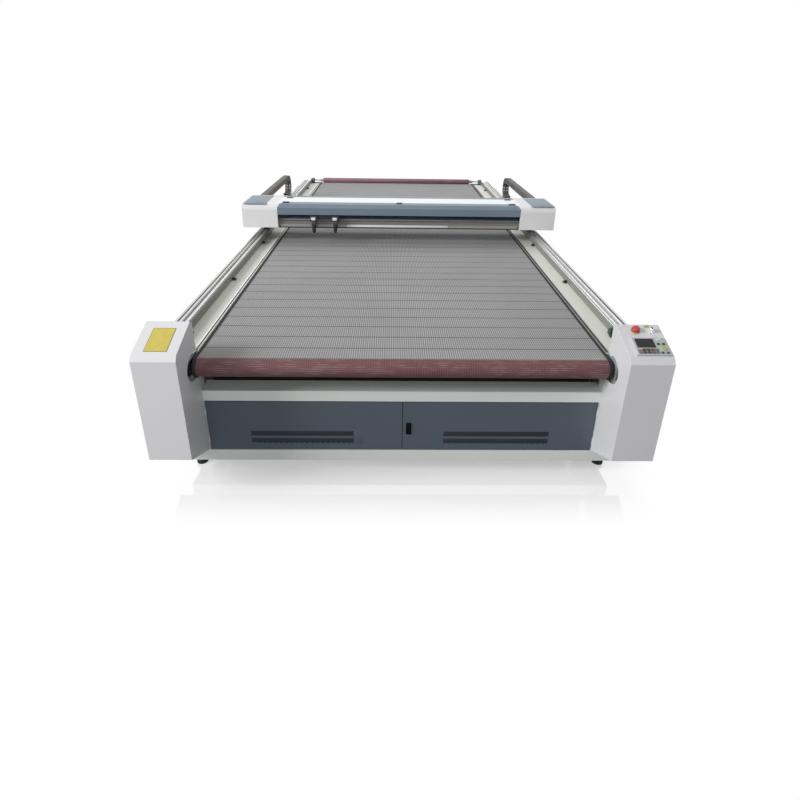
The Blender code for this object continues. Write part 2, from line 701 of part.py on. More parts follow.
def upright_frames():
    """The front portal carries the shelf and the fixed halves of the door hinges."""
    front = portal("front_frame", FRAME_FRONT, DOOR_JAMB_HALF)
    shelf_half = POST_OUTER_HALF - POST_WIDTH
    shelf = box("front_shelf_tool", (-shelf_half, FRAME_FRONT + POST_DEPTH - EMBED, CROSSBAR_BOTTOM),
                (shelf_half, FRAME_FRONT + SHELF_DEPTH, CROSSBAR_TOP), collection=cutters)
    fuse(front, shelf)
    for side, sign in SIDES.items():
        low_x, high_x = span(sign, DOOR_OUTER_HALF + TOUCH, DOOR_JAMB_HALF + EMBED)
        for number, height in enumerate(hinge_places()):
            lug = box(f"{side}_hinge_lug_{number}_tool", (low_x, FRAME_FRONT, height),
                      (high_x, FRAME_FRONT + LUG_DEPTH, height + HINGE_BARREL), collection=cutters)
            fuse(front, lug)
    rear = portal("rear_frame", FRAME_REAR - POST_DEPTH, POST_OUTER_HALF - POST_WIDTH)
    skin = box("rear_skin_tool", (-POST_OUTER_HALF + EMBED, FRAME_REAR - THIN_SHEET - EMBED, POST_BOTTOM + EMBED),
               (POST_OUTER_HALF - EMBED, FRAME_REAR - EMBED, CROSSBAR_BOTTOM + EMBED), collection=cutters)
    fuse(rear, skin)


def door(side, sign):
    """A pressed door pan, open at the back, with two rows of vent slots."""
    bottom = BASE_TOP + DOOR_BOTTOM_GAP
    top = CROSSBAR_BOTTOM - DOOR_TOP_GAP
    low_x, high_x = span(sign, DOOR_MEETING_GAP / 2, DOOR_OUTER_HALF)
    name = f"{side}_door"
    pan = box(name, (low_x, FRAME_FRONT, bottom), (high_x, FRAME_FRONT + DOOR_DEPTH, top), DOOR_BLUE)
    pocket = box(f"{name}_pocket_tool", (low_x + THIN_SHEET, FRAME_FRONT + THIN_SHEET, bottom + THIN_SHEET),
                 (high_x - THIN_SHEET, FRAME_FRONT + DOOR_DEPTH + OVERRUN, top - THIN_SHEET),
                 collection=cutters)
    cut(pan, pocket)
    slots = bpy.data.collections.new(f"{name}_slots")
    cutters.children.link(slots)
    for row in range(VENT_ROWS):
        row_bottom = BASE_TOP + VENT_RISE + row * VENT_ROW_PITCH
        for number in range(VENT_SLOTS):
            x = VENT_START + number * VENT_PITCH
            low_slot, high_slot = span(sign, x, x + VENT_SLOT_WIDTH)
            slot = box(f"{name}_slot_{row}_{number}_tool", (low_slot, FRAME_FRONT - OVERRUN, row_bottom),
                       (high_slot, FRAME_FRONT + OVERRUN, row_bottom + VENT_SLOT_HEIGHT),
                       collection=cutters)
            slots.objects.link(slot)
            cutters.objects.unlink(slot)
    boolean_with_all(pan, slots, "DIFFERENCE")
    return pan


def doors():
    for side, sign in SIDES.items():
        door(side, sign)


def latch():
    """A black latch plate with a flush handle that flips out about its lower end."""
    plate_back = FRAME_FRONT - TOUCH
    plate_front = plate_back - LATCH_DEPTH
    plate = box("latch_plate", (LATCH_LEFT, plate_front, LATCH_BOTTOM),
                (LATCH_LEFT + LATCH_WIDTH, plate_back, LATCH_BOTTOM + LATCH_HEIGHT), BLACK_RUBBER)
    middle = LATCH_LEFT + LATCH_WIDTH / 2
    handle_bottom = LATCH_BOTTOM + (LATCH_HEIGHT - HANDLE_LENGTH) / 2
    recess = box("latch_recess_tool",
                 (middle - HANDLE_WIDTH / 2 - TOUCH, plate_front - OVERRUN, handle_bottom - THIN_SHEET),
                 (middle + HANDLE_WIDTH / 2 + TOUCH, plate_front + LATCH_DEPTH / 2,
                  handle_bottom + HANDLE_LENGTH + THIN_SHEET), collection=cutters)
    cut(plate, recess)
    box("latch_handle", (middle - HANDLE_WIDTH / 2, plate_front + LATCH_DEPTH / 2 - TOUCH - HANDLE_DEPTH,
                         handle_bottom),
        (middle + HANDLE_WIDTH / 2, plate_front + LATCH_DEPTH / 2 - TOUCH, handle_bottom + HANDLE_LENGTH),
        DARK_METAL, rounding=TOUCH * 4)


def bed_sides():
    """On each side a steel sill with a belt-edge lip, the extruded guide beam bolted to
    its flank, the linear rail on the beam's ledge, and the cable chain's tray outside it."""
    sill = [
        (SILL_INNER, SILL_BOTTOM),
        (SILL_OUTER, SILL_BOTTOM),
        (SILL_OUTER, SILL_TOP),
        (SILL_INNER + LIP_WIDTH, SILL_TOP),
        (SILL_INNER + LIP_WIDTH, SILL_TOP + LIP_HEIGHT),
        (SILL_INNER, SILL_TOP + LIP_HEIGHT),
    ]
    ridge_left = BEAM_INNER + BEAM_LEDGE_WIDTH
    outer_slot = (BEAM_BOTTOM + BEAM_LEDGE_TOP) / 2
    beam = [
        (BEAM_INNER, BEAM_BOTTOM),
        (BEAM_OUTER, BEAM_BOTTOM),
        (BEAM_OUTER, outer_slot - BEAM_SLOT_WIDTH),
        (BEAM_OUTER - BEAM_SLOT_DEPTH, outer_slot - BEAM_SLOT_WIDTH),
        (BEAM_OUTER - BEAM_SLOT_DEPTH, outer_slot + BEAM_SLOT_WIDTH),
        (BEAM_OUTER, outer_slot + BEAM_SLOT_WIDTH),
    ]
    ridge_right = BEAM_OUTER - BEAM_BAND_WIDTH
    band_top = BEAM_RIDGE_TOP - BEAM_BAND_DROP
    round_height = BEAM_RIDGE_TOP - BEAM_RIDGE_ROUND
    beam += [(BEAM_OUTER, band_top), (ridge_right, band_top)]
    beam += arc((ridge_right - BEAM_RIDGE_ROUND, round_height), BEAM_RIDGE_ROUND, 0, 90, 4)
    beam += arc((ridge_left + BEAM_RIDGE_ROUND, round_height), BEAM_RIDGE_ROUND, 90, 180, 4)
    beam += [(ridge_left, BEAM_LEDGE_TOP), (BEAM_INNER, BEAM_LEDGE_TOP)]
    rail_left = RAIL_CENTRE - RAIL_WIDTH / 2
    rail_right = RAIL_CENTRE + RAIL_WIDTH / 2
    rail_top = RAIL_BOTTOM + RAIL_HEIGHT
    third = RAIL_HEIGHT / 3
    rail = [
        (rail_left, RAIL_BOTTOM),
        (rail_right, RAIL_BOTTOM),
        (rail_right, RAIL_BOTTOM + third),
        (rail_right - RAIL_WAIST, RAIL_BOTTOM + RAIL_HEIGHT / 2),
        (rail_right, rail_top - third),
        (rail_right, rail_top),
        (rail_left, rail_top),
        (rail_left, rail_top - third),
        (rail_left + RAIL_WAIST, RAIL_BOTTOM + RAIL_HEIGHT / 2),
        (rail_left, RAIL_BOTTOM + third),
    ]
    tray_inner = BEAM_OUTER + TOUCH
    tray_outer = CHAIN_CENTRE + CHAIN_WIDTH / 2 + CHAIN_SIDE_GAP + THIN_SHEET
    tray_lip = CHAIN_SHELF_TOP + TRAY_LIP_HEIGHT
    tray = [
        (tray_inner, CHAIN_SHELF_TOP - THIN_SHEET),
        (tray_outer, CHAIN_SHELF_TOP - THIN_SHEET),
        (tray_outer, tray_lip),
        (tray_outer - THIN_SHEET, tray_lip),
        (tray_outer - THIN_SHEET, CHAIN_SHELF_TOP),
        (tray_inner + THIN_SHEET, CHAIN_SHELF_TOP),
        (tray_inner + THIN_SHEET, tray_lip),
        (tray_inner, tray_lip),
    ]
    beam_start = from_front(BEAM_FRONT)
    beam_end = from_front(MACHINE_LENGTH - BEAM_REAR_MARGIN)
    for side, sign in SIDES.items():
        prism(f"{side}_bed_sill", [mirrored(sill, sign)], "Y", SILL_START, SILL_END, CREAM)
        prism(f"{side}_guide_beam", [mirrored(beam, sign)], "Y", beam_start, beam_end, ALUMINIUM)
        prism(f"{side}_linear_rail", [mirrored(rail, sign)], "Y", beam_start, beam_end, STEEL)
        prism(f"{side}_chain_shelf", [mirrored(tray, sign)], "Y", from_front(SHELF_FRONT),
              from_front(SHELF_REAR), STEEL)


def side_panels():
    """Sheet panels with groups of louvres close the base on both sides."""
    start = FRAME_FRONT + POST_DEPTH + TOUCH
    end = FRAME_REAR - POST_DEPTH - TOUCH
    for side, sign in SIDES.items():
        loops = [rectangle(start, POST_BOTTOM, end, POST_TOP)]
        for group in range(LOUVRE_GROUPS):
            centre = start + (end - start) * (group + 0.5) / LOUVRE_GROUPS
            for number in range(LOUVRES_PER_GROUP):
                low = LOUVRE_LOW + number * LOUVRE_PITCH
                loops.append(rectangle(centre - LOUVRE_LENGTH / 2, low,
                                       centre + LOUVRE_LENGTH / 2, low + LOUVRE_HEIGHT))
        inner = sign * (PANEL_OUTER - PANEL_SHEET)
        prism(f"{side}_side_panel", loops, "X", inner, sign * PANEL_OUTER, CREAM)


def bed_table():
    """The slab that carries the belt's upper run, on deep cross ribs."""
    slab_top = BELT_TOP - BELT_THICKNESS - TOUCH
    slab_bottom = slab_top - TABLE_SLAB
    rib_bottom = slab_top - TABLE_RIB_DEPTH
    start = FRONT_ROLLER_Y + TABLE_END_MARGIN
    end = REAR_ROLLER_Y - TABLE_END_MARGIN
    pitch = (end - start - TABLE_RIB_WIDTH) / (TABLE_RIBS - 1)
    outline = [(end, slab_top), (start, slab_top)]
    for number in range(TABLE_RIBS):
        near = start + number * pitch
        far = near + TABLE_RIB_WIDTH
        if number > 0:
            outline.append((near, slab_bottom))
        outline += [(near, rib_bottom), (far, rib_bottom)]
        if number < TABLE_RIBS - 1:
            outline.append((far, slab_bottom))
    half = SILL_INNER - TOUCH
    prism("bed_table", [outline], "X", -half, half, DARK_METAL)


def mesh_belt():
    """One endless band round both rollers, with a groove at each cross rod of its top run."""
    inner_radius = ROLLER_RADIUS + TOUCH
    front = (FRONT_ROLLER_Y, ROLLER_HEIGHT)
    rear = (REAR_ROLLER_Y, ROLLER_HEIGHT)
    outer = arc(front, BELT_RADIUS, 90, 270, FINE_STEPS // 2)
    outer += arc(rear, BELT_RADIUS, -90, 90, FINE_STEPS // 2)
    grooves = int((rear[0] - front[0]) / BELT_GROOVE_PITCH)
    for number in range(grooves - 1):
        far = rear[0] - (number + 1) * BELT_GROOVE_PITCH
        near = far - BELT_GROOVE_WIDTH
        outer += [(far, BELT_TOP), ((far + near) / 2, BELT_TOP - BELT_GROOVE_DEPTH), (near, BELT_TOP)]
    inner = arc(front, inner_radius, 90, 270, FINE_STEPS // 2)
    inner += arc(rear, inner_radius, -90, 90, FINE_STEPS // 2)
    prism("mesh_belt", [outer, inner], "X", -BELT_HALF_WIDTH, BELT_HALF_WIDTH, MESH_GREY)


def roller(name, y, z, radius, body_half, shaft_radius, shaft_half):
    profile = [
        (0, shaft_half),
        (shaft_radius, shaft_half),
        (shaft_radius, body_half),
        (radius, body_half),
        (radius, -body_half),
        (shaft_radius, -body_half),
        (shaft_radius, -shaft_half),
        (0, -shaft_half),
    ]
    place = Matrix.Translation((0, y, z)) @ Matrix.Rotation(math.radians(90), 4, "Y")
    turned(name, profile, place, RED_RUBBER, FINE_STEPS)


def rollers():
    roller("front_roller", FRONT_ROLLER_Y, ROLLER_HEIGHT, ROLLER_RADIUS, ROLLER_BODY_HALF,
           ROLLER_SHAFT_RADIUS, ROLLER_SHAFT_HALF)
    roller("rear_roller", REAR_ROLLER_Y, ROLLER_HEIGHT, ROLLER_RADIUS, ROLLER_BODY_HALF,
           ROLLER_SHAFT_RADIUS, ROLLER_SHAFT_HALF)
    press_height = BELT_TOP + TOUCH + PRESS_ROLLER_RADIUS
    roller("press_roller", REAR_ROLLER_Y, press_height, PRESS_ROLLER_RADIUS, PRESS_BODY_HALF,
           PRESS_SHAFT_RADIUS, PRESS_SHAFT_HALF)


def bored_block(name, low, high, bore_centre, bore_radius, finish):
    """A block with a through bore along X and rounded edges."""
    block = box(name, low, high, finish, rounding=EDGE_ROUND)
    tool = rod(f"{name}_bore_tool", "X", bore_centre, bore_radius, low[0] - OVERRUN, high[0] + OVERRUN,
               collection=cutters)
    cut(block, tool)
    return block


def span(sign, inner, outer):
    """Low and high x of a piece between two distances from the middle, on one side."""
    return min(sign * inner, sign * outer), max(sign * inner, sign * outer)


def bearings():
    """Bearing blocks bolted to the sill ends, and the press roller's blocks on top."""
    centre = (FRONT_ROLLER_Y, ROLLER_HEIGHT)
    low_x, high_x = span(-1, BEARING_INNER, BEARING_OUTER)
    bored_block("front_left_bearing",
                (low_x, SILL_START - TOUCH - BEARING_DEPTH, SILL_TOP - BEARING_HEIGHT),
                (high_x, SILL_START - TOUCH, SILL_TOP), centre, BORE_RADIUS, DARK_METAL)
    rear_centre = (REAR_ROLLER_Y, ROLLER_HEIGHT)
    press_centre = (REAR_ROLLER_Y, BELT_TOP + TOUCH + PRESS_ROLLER_RADIUS)
    for side, sign in SIDES.items():
        low_x, high_x = span(sign, BEARING_INNER, REAR_BEARING_OUTER)
        bored_block(f"rear_{side}_bearing", (low_x, SILL_END + TOUCH, SILL_TOP - BEARING_HEIGHT),
                    (high_x, from_front(MACHINE_LENGTH), SILL_TOP), rear_centre, BORE_RADIUS, DARK_METAL)
        low_x, high_x = span(sign, PRESS_BLOCK_INNER, PRESS_BLOCK_INNER + PRESS_BLOCK_WIDTH)
        bored_block(f"{side}_press_bearing",
                    (low_x, REAR_ROLLER_Y - PRESS_BLOCK_DEPTH / 2, SILL_TOP + TOUCH),
                    (high_x, REAR_ROLLER_Y + PRESS_BLOCK_DEPTH / 2, SILL_TOP + PRESS_BLOCK_HEIGHT),
                    press_centre, PRESS_SHAFT_RADIUS + BORE_CLEARANCE, DARK_METAL)


def conveyor_gearmotor():
    """A hollow-shaft gearbox on the front roller's right end, with its motor hanging below."""
    top = SILL_TOP
    bottom = top - GEARBOX_HEIGHT
    back = SILL_START - TOUCH
    gearbox = bored_block("conveyor_gearmotor", (BEARING_INNER, back - GEARBOX_DEPTH, bottom),
                          (GEARBOX_OUTER, back, top), (FRONT_ROLLER_Y, ROLLER_HEIGHT), BORE_RADIUS, STEEL)
    middle_x = (BEARING_INNER + GEARBOX_OUTER) / 2
    motor = rod("gearmotor_motor_tool", "Z", (middle_x, from_front(MOTOR_SETBACK)), MOTOR_RADIUS,
                bottom - MOTOR_LENGTH, bottom + EMBED, collection=cutters)
    fuse(gearbox, motor)


POD_PROFILE = [
    (from_front(POD_BACK), POD_BACK_BOTTOM),
    (from_front(POD_BACK), POD_RIDGE_HEIGHT - POD_FACET_RISE / 2),
    (from_front(POD_RIDGE_SETBACK), POD_RIDGE_HEIGHT),
    (from_front(POD_FACET_DEPTH), POD_FRONT_TOP + POD_FACET_RISE),
    (from_front(0), POD_FRONT_TOP),
    (from_front(0), POD_FRONT_BOTTOM),
]


def inset_loop(points, distance):
    """A closed outline moved inwards by the distance, for points in anticlockwise order."""
    ring = points[-1:] + points + points[:1]
    return offset_line(ring, distance)[1:-1]


def pods():
    """Each pod is a folded cover: solid profile, hollowed, open at the lower back, with a
    rounded mouth in its inner side for the end of the roller and the belt."""
    for side, sign in SIDES.items():
        name = f"{side}_pod"
        low_x, high_x = span(sign, POD_INNER, POD_OUTER)
        shell = prism(name, [POD_PROFILE], "X", low_x, high_x, WHITE)
        hollow = prism(f"{name}_hollow_tool", [inset_loop(POD_PROFILE, SHEET)], "X",
                       low_x + SHEET, high_x - SHEET, collection=cutters)
        cut(shell, hollow)
        back = box(f"{name}_back_tool",
                   (low_x + SHEET, from_front(POD_BACK) - OVERRUN, POD_BACK_BOTTOM + OVERRUN),
                   (high_x - SHEET, from_front(POD_BACK) + OVERRUN, POD_BACK_OPEN_TOP), collection=cutters)
        cut(shell, back)
        mouth_points = arc((0, 0), 1, 0, 360, ROUND_STEPS)[:-1]
        mouth_loop = [
            (from_front(POD_MOUTH_SETBACK) + POD_MOUTH_HALF_DEPTH * across,
             POD_MOUTH_HEIGHT + POD_MOUTH_HALF_HEIGHT * up)
            for across, up in mouth_points
        ]
        inner_low, inner_high = span(sign, POD_INNER - OVERRUN, POD_INNER + OVERRUN)
        mouth = prism(f"{name}_mouth_tool", [mouth_loop], "X", inner_low, inner_high, collection=cutters)
        cut(shell, mouth)
        if side == "right":
            for label, x, up, radius in (("stop", E_STOP_X, E_STOP_UP, E_STOP_STEM_RADIUS + TOUCH),
                                         ("key", KEY_X, KEY_UP, KEY_PLUG_RADIUS + TOUCH)):
                tool = rod(f"{label}_hole_tool", "Z", (0, 0), radius, -E_STOP_STEM_DEPTH, OVERRUN,
                           collection=cutters)
                tool.matrix_world = slope_place(x, up)
                cut(shell, tool)


SLOPE_RUN = POD_RIDGE_SETBACK - POD_FACET_DEPTH
SLOPE_RISE = POD_RIDGE_HEIGHT - POD_FRONT_TOP - POD_FACET_RISE
SLOPE_ANGLE = math.atan2(SLOPE_RISE, SLOPE_RUN)


def slope_place(x, up):
    """A frame on the right pod's slope: X to the right, Y up the slope, Z out of it."""
    corner = Vector((x, from_front(POD_FACET_DEPTH), POD_FRONT_TOP + POD_FACET_RISE))
    return (Matrix.Translation(corner) @ Matrix.Rotation(SLOPE_ANGLE, 4, "X")
            @ Matrix.Translation((0, up, 0)))


def controls():
    """Keypad panel, emergency stop and key switch, all set on the right pod's slope."""
    panel = box("control_panel", (0, 0, TOUCH), (PANEL_WIDTH, PANEL_LENGTH, PANEL_THICKNESS + TOUCH),
                PANEL_GREY)
    window = box("display_tool",
                 (DISPLAY_LEFT - PANEL_LEFT, DISPLAY_START - PANEL_START, PANEL_THICKNESS - DISPLAY_RECESS),
                 (DISPLAY_LEFT - PANEL_LEFT + DISPLAY_WIDTH, DISPLAY_START - PANEL_START + DISPLAY_LENGTH,
                  PANEL_THICKNESS + OVERRUN), collection=cutters)
    for piece in (panel, window):
        piece.matrix_world = slope_place(PANEL_LEFT, PANEL_START)
    cut(panel, window)

    hole = E_STOP_STEM_RADIUS + TOUCH
    collar = [
        (hole, E_STOP_COLLAR_HEIGHT),
        (E_STOP_COLLAR_RADIUS - TOUCH, E_STOP_COLLAR_HEIGHT),
        (E_STOP_COLLAR_RADIUS, E_STOP_COLLAR_HEIGHT / 2),
        (E_STOP_COLLAR_RADIUS, TOUCH),
        (hole, TOUCH),
        (hole, E_STOP_COLLAR_HEIGHT),
    ]
    turned("e_stop_collar", collar, slope_place(E_STOP_X, E_STOP_UP), YELLOW_PLASTIC)
    head_base = E_STOP_COLLAR_HEIGHT + E_STOP_HEAD_GAP
    head_top = head_base + E_STOP_HEAD_HEIGHT
    button = [(0, head_top)]
    button += [(E_STOP_HEAD_RADIUS * share, head_top - E_STOP_HEAD_HEIGHT * drop_share)
               for share, drop_share in ((0.55, 0.05), (0.82, 0.20), (0.96, 0.45), (1.0, 0.75), (0.94, 1.0))]
    button += [
        (E_STOP_STEM_RADIUS, head_base),
        (E_STOP_STEM_RADIUS, head_base - E_STOP_STEM_DEPTH),
        (0, head_base - E_STOP_STEM_DEPTH),
    ]
    turned("e_stop_button", button, slope_place(E_STOP_X, E_STOP_UP), RED_PLASTIC)

    bore = KEY_PLUG_RADIUS + TOUCH
    bezel = [
        (bore, KEY_BEZEL_HEIGHT),
        (KEY_BEZEL_RADIUS - KEY_COLLAR, KEY_BEZEL_HEIGHT),
        (KEY_BEZEL_RADIUS, KEY_BEZEL_HEIGHT - KEY_COLLAR),
        (KEY_BEZEL_RADIUS, TOUCH),
        (bore, TOUCH),
        (bore, KEY_BEZEL_HEIGHT),
    ]
    turned("key_switch_body", bezel, slope_place(KEY_X, KEY_UP), CHROME)
    plug_top = KEY_BEZEL_HEIGHT + EMBED + TOUCH
    plug_bottom = KEY_BEZEL_HEIGHT - KEY_PLUG_DEPTH
    key = rod("switch_key", "Z", (0, 0), KEY_PLUG_RADIUS, plug_bottom, plug_top, CHROME)
    key.matrix_world = slope_place(KEY_X, KEY_UP)
    bow = box("key_bow_tool", (-KEY_BOW_THICKNESS / 2, -KEY_BOW_WIDTH / 2, plug_top - EMBED),
              (KEY_BOW_THICKNESS / 2, KEY_BOW_WIDTH / 2, plug_top + KEY_BOW_LENGTH), collection=cutters)
    bow.matrix_world = slope_place(KEY_X, KEY_UP)
    fuse(key, bow)


def housing_profile():
    """Side view of a gantry end housing, anticlockwise from the lower rear corner."""
    front_arc = arc((GANTRY_FRONT + HOUSING_ROUND, GANTRY_TOP - HOUSING_ROUND), HOUSING_ROUND, 90, 180)
    rear_arc = arc((GANTRY_REAR - HOUSING_REAR_ROUND, GANTRY_TOP - HOUSING_REAR_ROUND),
                   HOUSING_REAR_ROUND, 0, 90, 3)
    return [(GANTRY_REAR, HOUSING_BOTTOM)] + rear_arc + front_arc + [(GANTRY_FRONT, HOUSING_BOTTOM)]


def housings():
    """White end housings: open below, with a mouth in the inner wall for the bridge and a
    bracket on the back that carries the end of the cable chain."""
    outer = housing_profile()
    inner = offset_line(outer, SHEET)
    inner[0] = (inner[0][0], HOUSING_BOTTOM - OVERRUN)
    inner[-1] = (inner[-1][0], HOUSING_BOTTOM - OVERRUN)
    for side, sign in SIDES.items():
        name = f"{side}_end_housing"
        low_x, high_x = span(sign, HOUSING_INNER, HOUSING_OUTER)
        shell = prism(name, [outer], "X", low_x, high_x, WHITE)
        hollow = prism(f"{name}_hollow_tool", [inner], "X", low_x + SHEET, high_x - SHEET, collection=cutters)
        cut(shell, hollow)
        mouth_low, mouth_high = span(sign, HOUSING_INNER - OVERRUN, HOUSING_INNER + SHEET + OVERRUN)
        mouth = box(f"{name}_mouth_tool",
                    (mouth_low, GANTRY_FRONT + HOUSING_MOUTH_LIP, HOUSING_BOTTOM - OVERRUN),
                    (mouth_high, GANTRY_REAR - HOUSING_MOUTH_LIP, HOUSING_MOUTH_TOP), collection=cutters)
        cut(shell, mouth)
        chain_bottom = CHAIN_TOP - CHAIN_HEIGHT - TOUCH
        low_x, high_x = span(sign, CHAIN_CENTRE - CHAIN_WIDTH / 2, CHAIN_CENTRE + CHAIN_WIDTH / 2)
        bracket = box(f"{name}_bracket_tool", (low_x, GANTRY_REAR - EMBED, chain_bottom - CHAIN_BRACKET_HEIGHT),
                      (high_x, GANTRY_REAR + CHAIN_BRACKET_LENGTH, chain_bottom), collection=cutters)
        fuse(shell, bracket)


def bridge():
    """The extruded gantry bridge with slots, two cradles behind it for the laser tube, and
    the hardened rail on its lower front."""
    slot_low = BRIDGE_TOP - BRIDGE_SLOT_DROP
    slot_middle = (BRIDGE_FRONT + BRIDGE_REAR) / 2
    half_slot = BRIDGE_SLOT_WIDTH / 2
    outline = [
        (BRIDGE_FRONT, BRIDGE_BOTTOM),
        (slot_middle - half_slot, BRIDGE_BOTTOM),
        (slot_middle - half_slot, BRIDGE_BOTTOM + BRIDGE_SLOT_DEPTH),
        (slot_middle + half_slot, BRIDGE_BOTTOM + BRIDGE_SLOT_DEPTH),
        (slot_middle + half_slot, BRIDGE_BOTTOM),
        (BRIDGE_REAR, BRIDGE_BOTTOM),
        (BRIDGE_REAR, BRIDGE_TOP - BRIDGE_ROUND),
        (BRIDGE_REAR - BRIDGE_ROUND, BRIDGE_TOP),
        (BRIDGE_FRONT + BRIDGE_ROUND, BRIDGE_TOP),
        (BRIDGE_FRONT, BRIDGE_TOP - BRIDGE_ROUND),
        (BRIDGE_FRONT, slot_low + BRIDGE_SLOT_WIDTH),
        (BRIDGE_FRONT + BRIDGE_SLOT_DEPTH, slot_low + BRIDGE_SLOT_WIDTH),
        (BRIDGE_FRONT + BRIDGE_SLOT_DEPTH, slot_low),
        (BRIDGE_FRONT, slot_low),
    ]
    beam = prism("gantry_beam", [outline], "X", -BRIDGE_HALF, BRIDGE_HALF, ALUMINIUM)
    for number, x in enumerate((-CRADLE_X, CRADLE_X)):
        cradle = box(f"cradle_{number}_tool", (x - CRADLE_WIDTH / 2, BRIDGE_REAR - EMBED, CRADLE_BOTTOM),
                     (x + CRADLE_WIDTH / 2, BRIDGE_REAR + CRADLE_DEPTH, CRADLE_BOTTOM + CRADLE_HEIGHT),
                     collection=cutters)
        fuse(beam, cradle)
    rail_back = BRIDGE_FRONT - TOUCH
    box("head_rail", (-X_RAIL_HALF, rail_back - X_RAIL_DEPTH, X_RAIL_BOTTOM),
        (X_RAIL_HALF, rail_back, X_RAIL_BOTTOM + X_RAIL_HEIGHT), STEEL)


def covers():
    """Folded sheet over the bridge: a blue front cover, a white centre strip and a blue
    rear cover, all ending at the housings."""
    half = HOUSING_INNER - TOUCH
    strip_front = GANTRY_FRONT + COVER_FRONT_TOP
    strip_rear = strip_front + STRIP_WIDTH
    front = [(strip_front - TOUCH, GANTRY_TOP)]
    front += [(GANTRY_FRONT + COVER_CHAMFER_DEPTH, GANTRY_TOP - COVER_CROWN),
              (GANTRY_FRONT, GANTRY_TOP - COVER_CHAMFER_HEIGHT)]
    front += [(GANTRY_FRONT, COVER_BOTTOM), (GANTRY_FRONT + COVER_LIP, COVER_BOTTOM)]
    prism("front_cover", [sheet_outline(front, THIN_SHEET)], "X", -half, half, COVER_BLUE)
    strip = rectangle(strip_front, GANTRY_TOP - THIN_SHEET, strip_rear, GANTRY_TOP)
    prism("top_strip", [strip], "X", -half, half, WHITE)
    rear = [(GANTRY_REAR, REAR_COVER_BOTTOM)]
    rear += arc((GANTRY_REAR - REAR_COVER_ROUND, GANTRY_TOP - REAR_COVER_ROUND), REAR_COVER_ROUND, 0, 90, 4)
    rear += [(strip_rear + TOUCH, GANTRY_TOP)]
    prism("rear_cover", [sheet_outline(rear, THIN_SHEET)], "X", -half, half, COVER_BLUE)


def laser_tube():
    """The sealed glass laser tube, lying in the two cradles."""
    profile = [
        (0, LASER_TUBE_HALF),
        (LASER_TUBE_CAP_RADIUS, LASER_TUBE_HALF),
        (LASER_TUBE_CAP_RADIUS, LASER_TUBE_HALF - LASER_TUBE_CAP),
        (LASER_TUBE_RADIUS, LASER_TUBE_HALF - LASER_TUBE_CAP),
        (LASER_TUBE_RADIUS, -LASER_TUBE_HALF + LASER_TUBE_CAP),
        (LASER_TUBE_CAP_RADIUS, -LASER_TUBE_HALF + LASER_TUBE_CAP),
        (LASER_TUBE_CAP_RADIUS, -LASER_TUBE_HALF),
        (0, -LASER_TUBE_HALF),
    ]
    y = BRIDGE_REAR + CRADLE_DEPTH / 2
    z = CRADLE_BOTTOM + CRADLE_HEIGHT + LASER_TUBE_RADIUS + TOUCH
    turned("laser_tube", profile, Matrix.Translation((0, y, z)) @ Matrix.Rotation(math.radians(90), 4, "Y"),
           GLASS)


def carriages():
    """Under each housing a plate carries the bridge and rides the linear rail on a runner."""
    slot_half = RAIL_WIDTH / 2 + TOUCH
    slot_top = RAIL_BOTTOM + RAIL_HEIGHT + TOUCH
    runner_left = RAIL_CENTRE - RUNNER_WIDTH / 2
    runner_right = RAIL_CENTRE + RUNNER_WIDTH / 2
    runner_top = CARRIAGE_PLATE_BOTTOM + EMBED
    section = [
        (runner_left, RUNNER_BOTTOM),
        (RAIL_CENTRE - slot_half, RUNNER_BOTTOM),
        (RAIL_CENTRE - slot_half, slot_top),
        (RAIL_CENTRE + slot_half, slot_top),
        (RAIL_CENTRE + slot_half, RUNNER_BOTTOM),
        (runner_right, RUNNER_BOTTOM),
        (runner_right, runner_top),
        (runner_left, runner_top),
    ]
    start = GANTRY_FRONT + CARRIAGE_FRONT_GAP
    end = start + CARRIAGE_LENGTH
    for side, sign in SIDES.items():
        low_x, high_x = span(sign, CARRIAGE_INNER, CARRIAGE_OUTER)
        plate = box(f"{side}_carriage", (low_x, start, CARRIAGE_PLATE_BOTTOM), (high_x, end, CARRIAGE_PLATE_TOP),
                    DARK_METAL)
        runner = prism(f"{side}_runner_tool", [mirrored(section, sign)], "Y", end - RUNNER_LENGTH, end,
                       collection=cutters)
        fuse(plate, runner)
    motor_bottom = BRIDGE_TOP + TOUCH
    motor_y = (BRIDGE_FRONT + BRIDGE_REAR) / 2
    motor = box("head_drive_motor",
                (X_MOTOR_X - X_MOTOR_SIZE / 2, motor_y - X_MOTOR_LENGTH / 2, motor_bottom),
                (X_MOTOR_X + X_MOTOR_SIZE / 2, motor_y + X_MOTOR_LENGTH / 2, motor_bottom + X_MOTOR_SIZE),
                DARK_METAL, rounding=EDGE_ROUND)
    shaft = rod("motor_shaft_tool", "Y", (X_MOTOR_X, motor_bottom + X_MOTOR_SIZE / 2),
                X_MOTOR_SHAFT_RADIUS, motor_y - X_MOTOR_LENGTH / 2 - X_MOTOR_SHAFT,
                motor_y - X_MOTOR_LENGTH / 2 + EMBED, collection=cutters)
    fuse(motor, shaft)


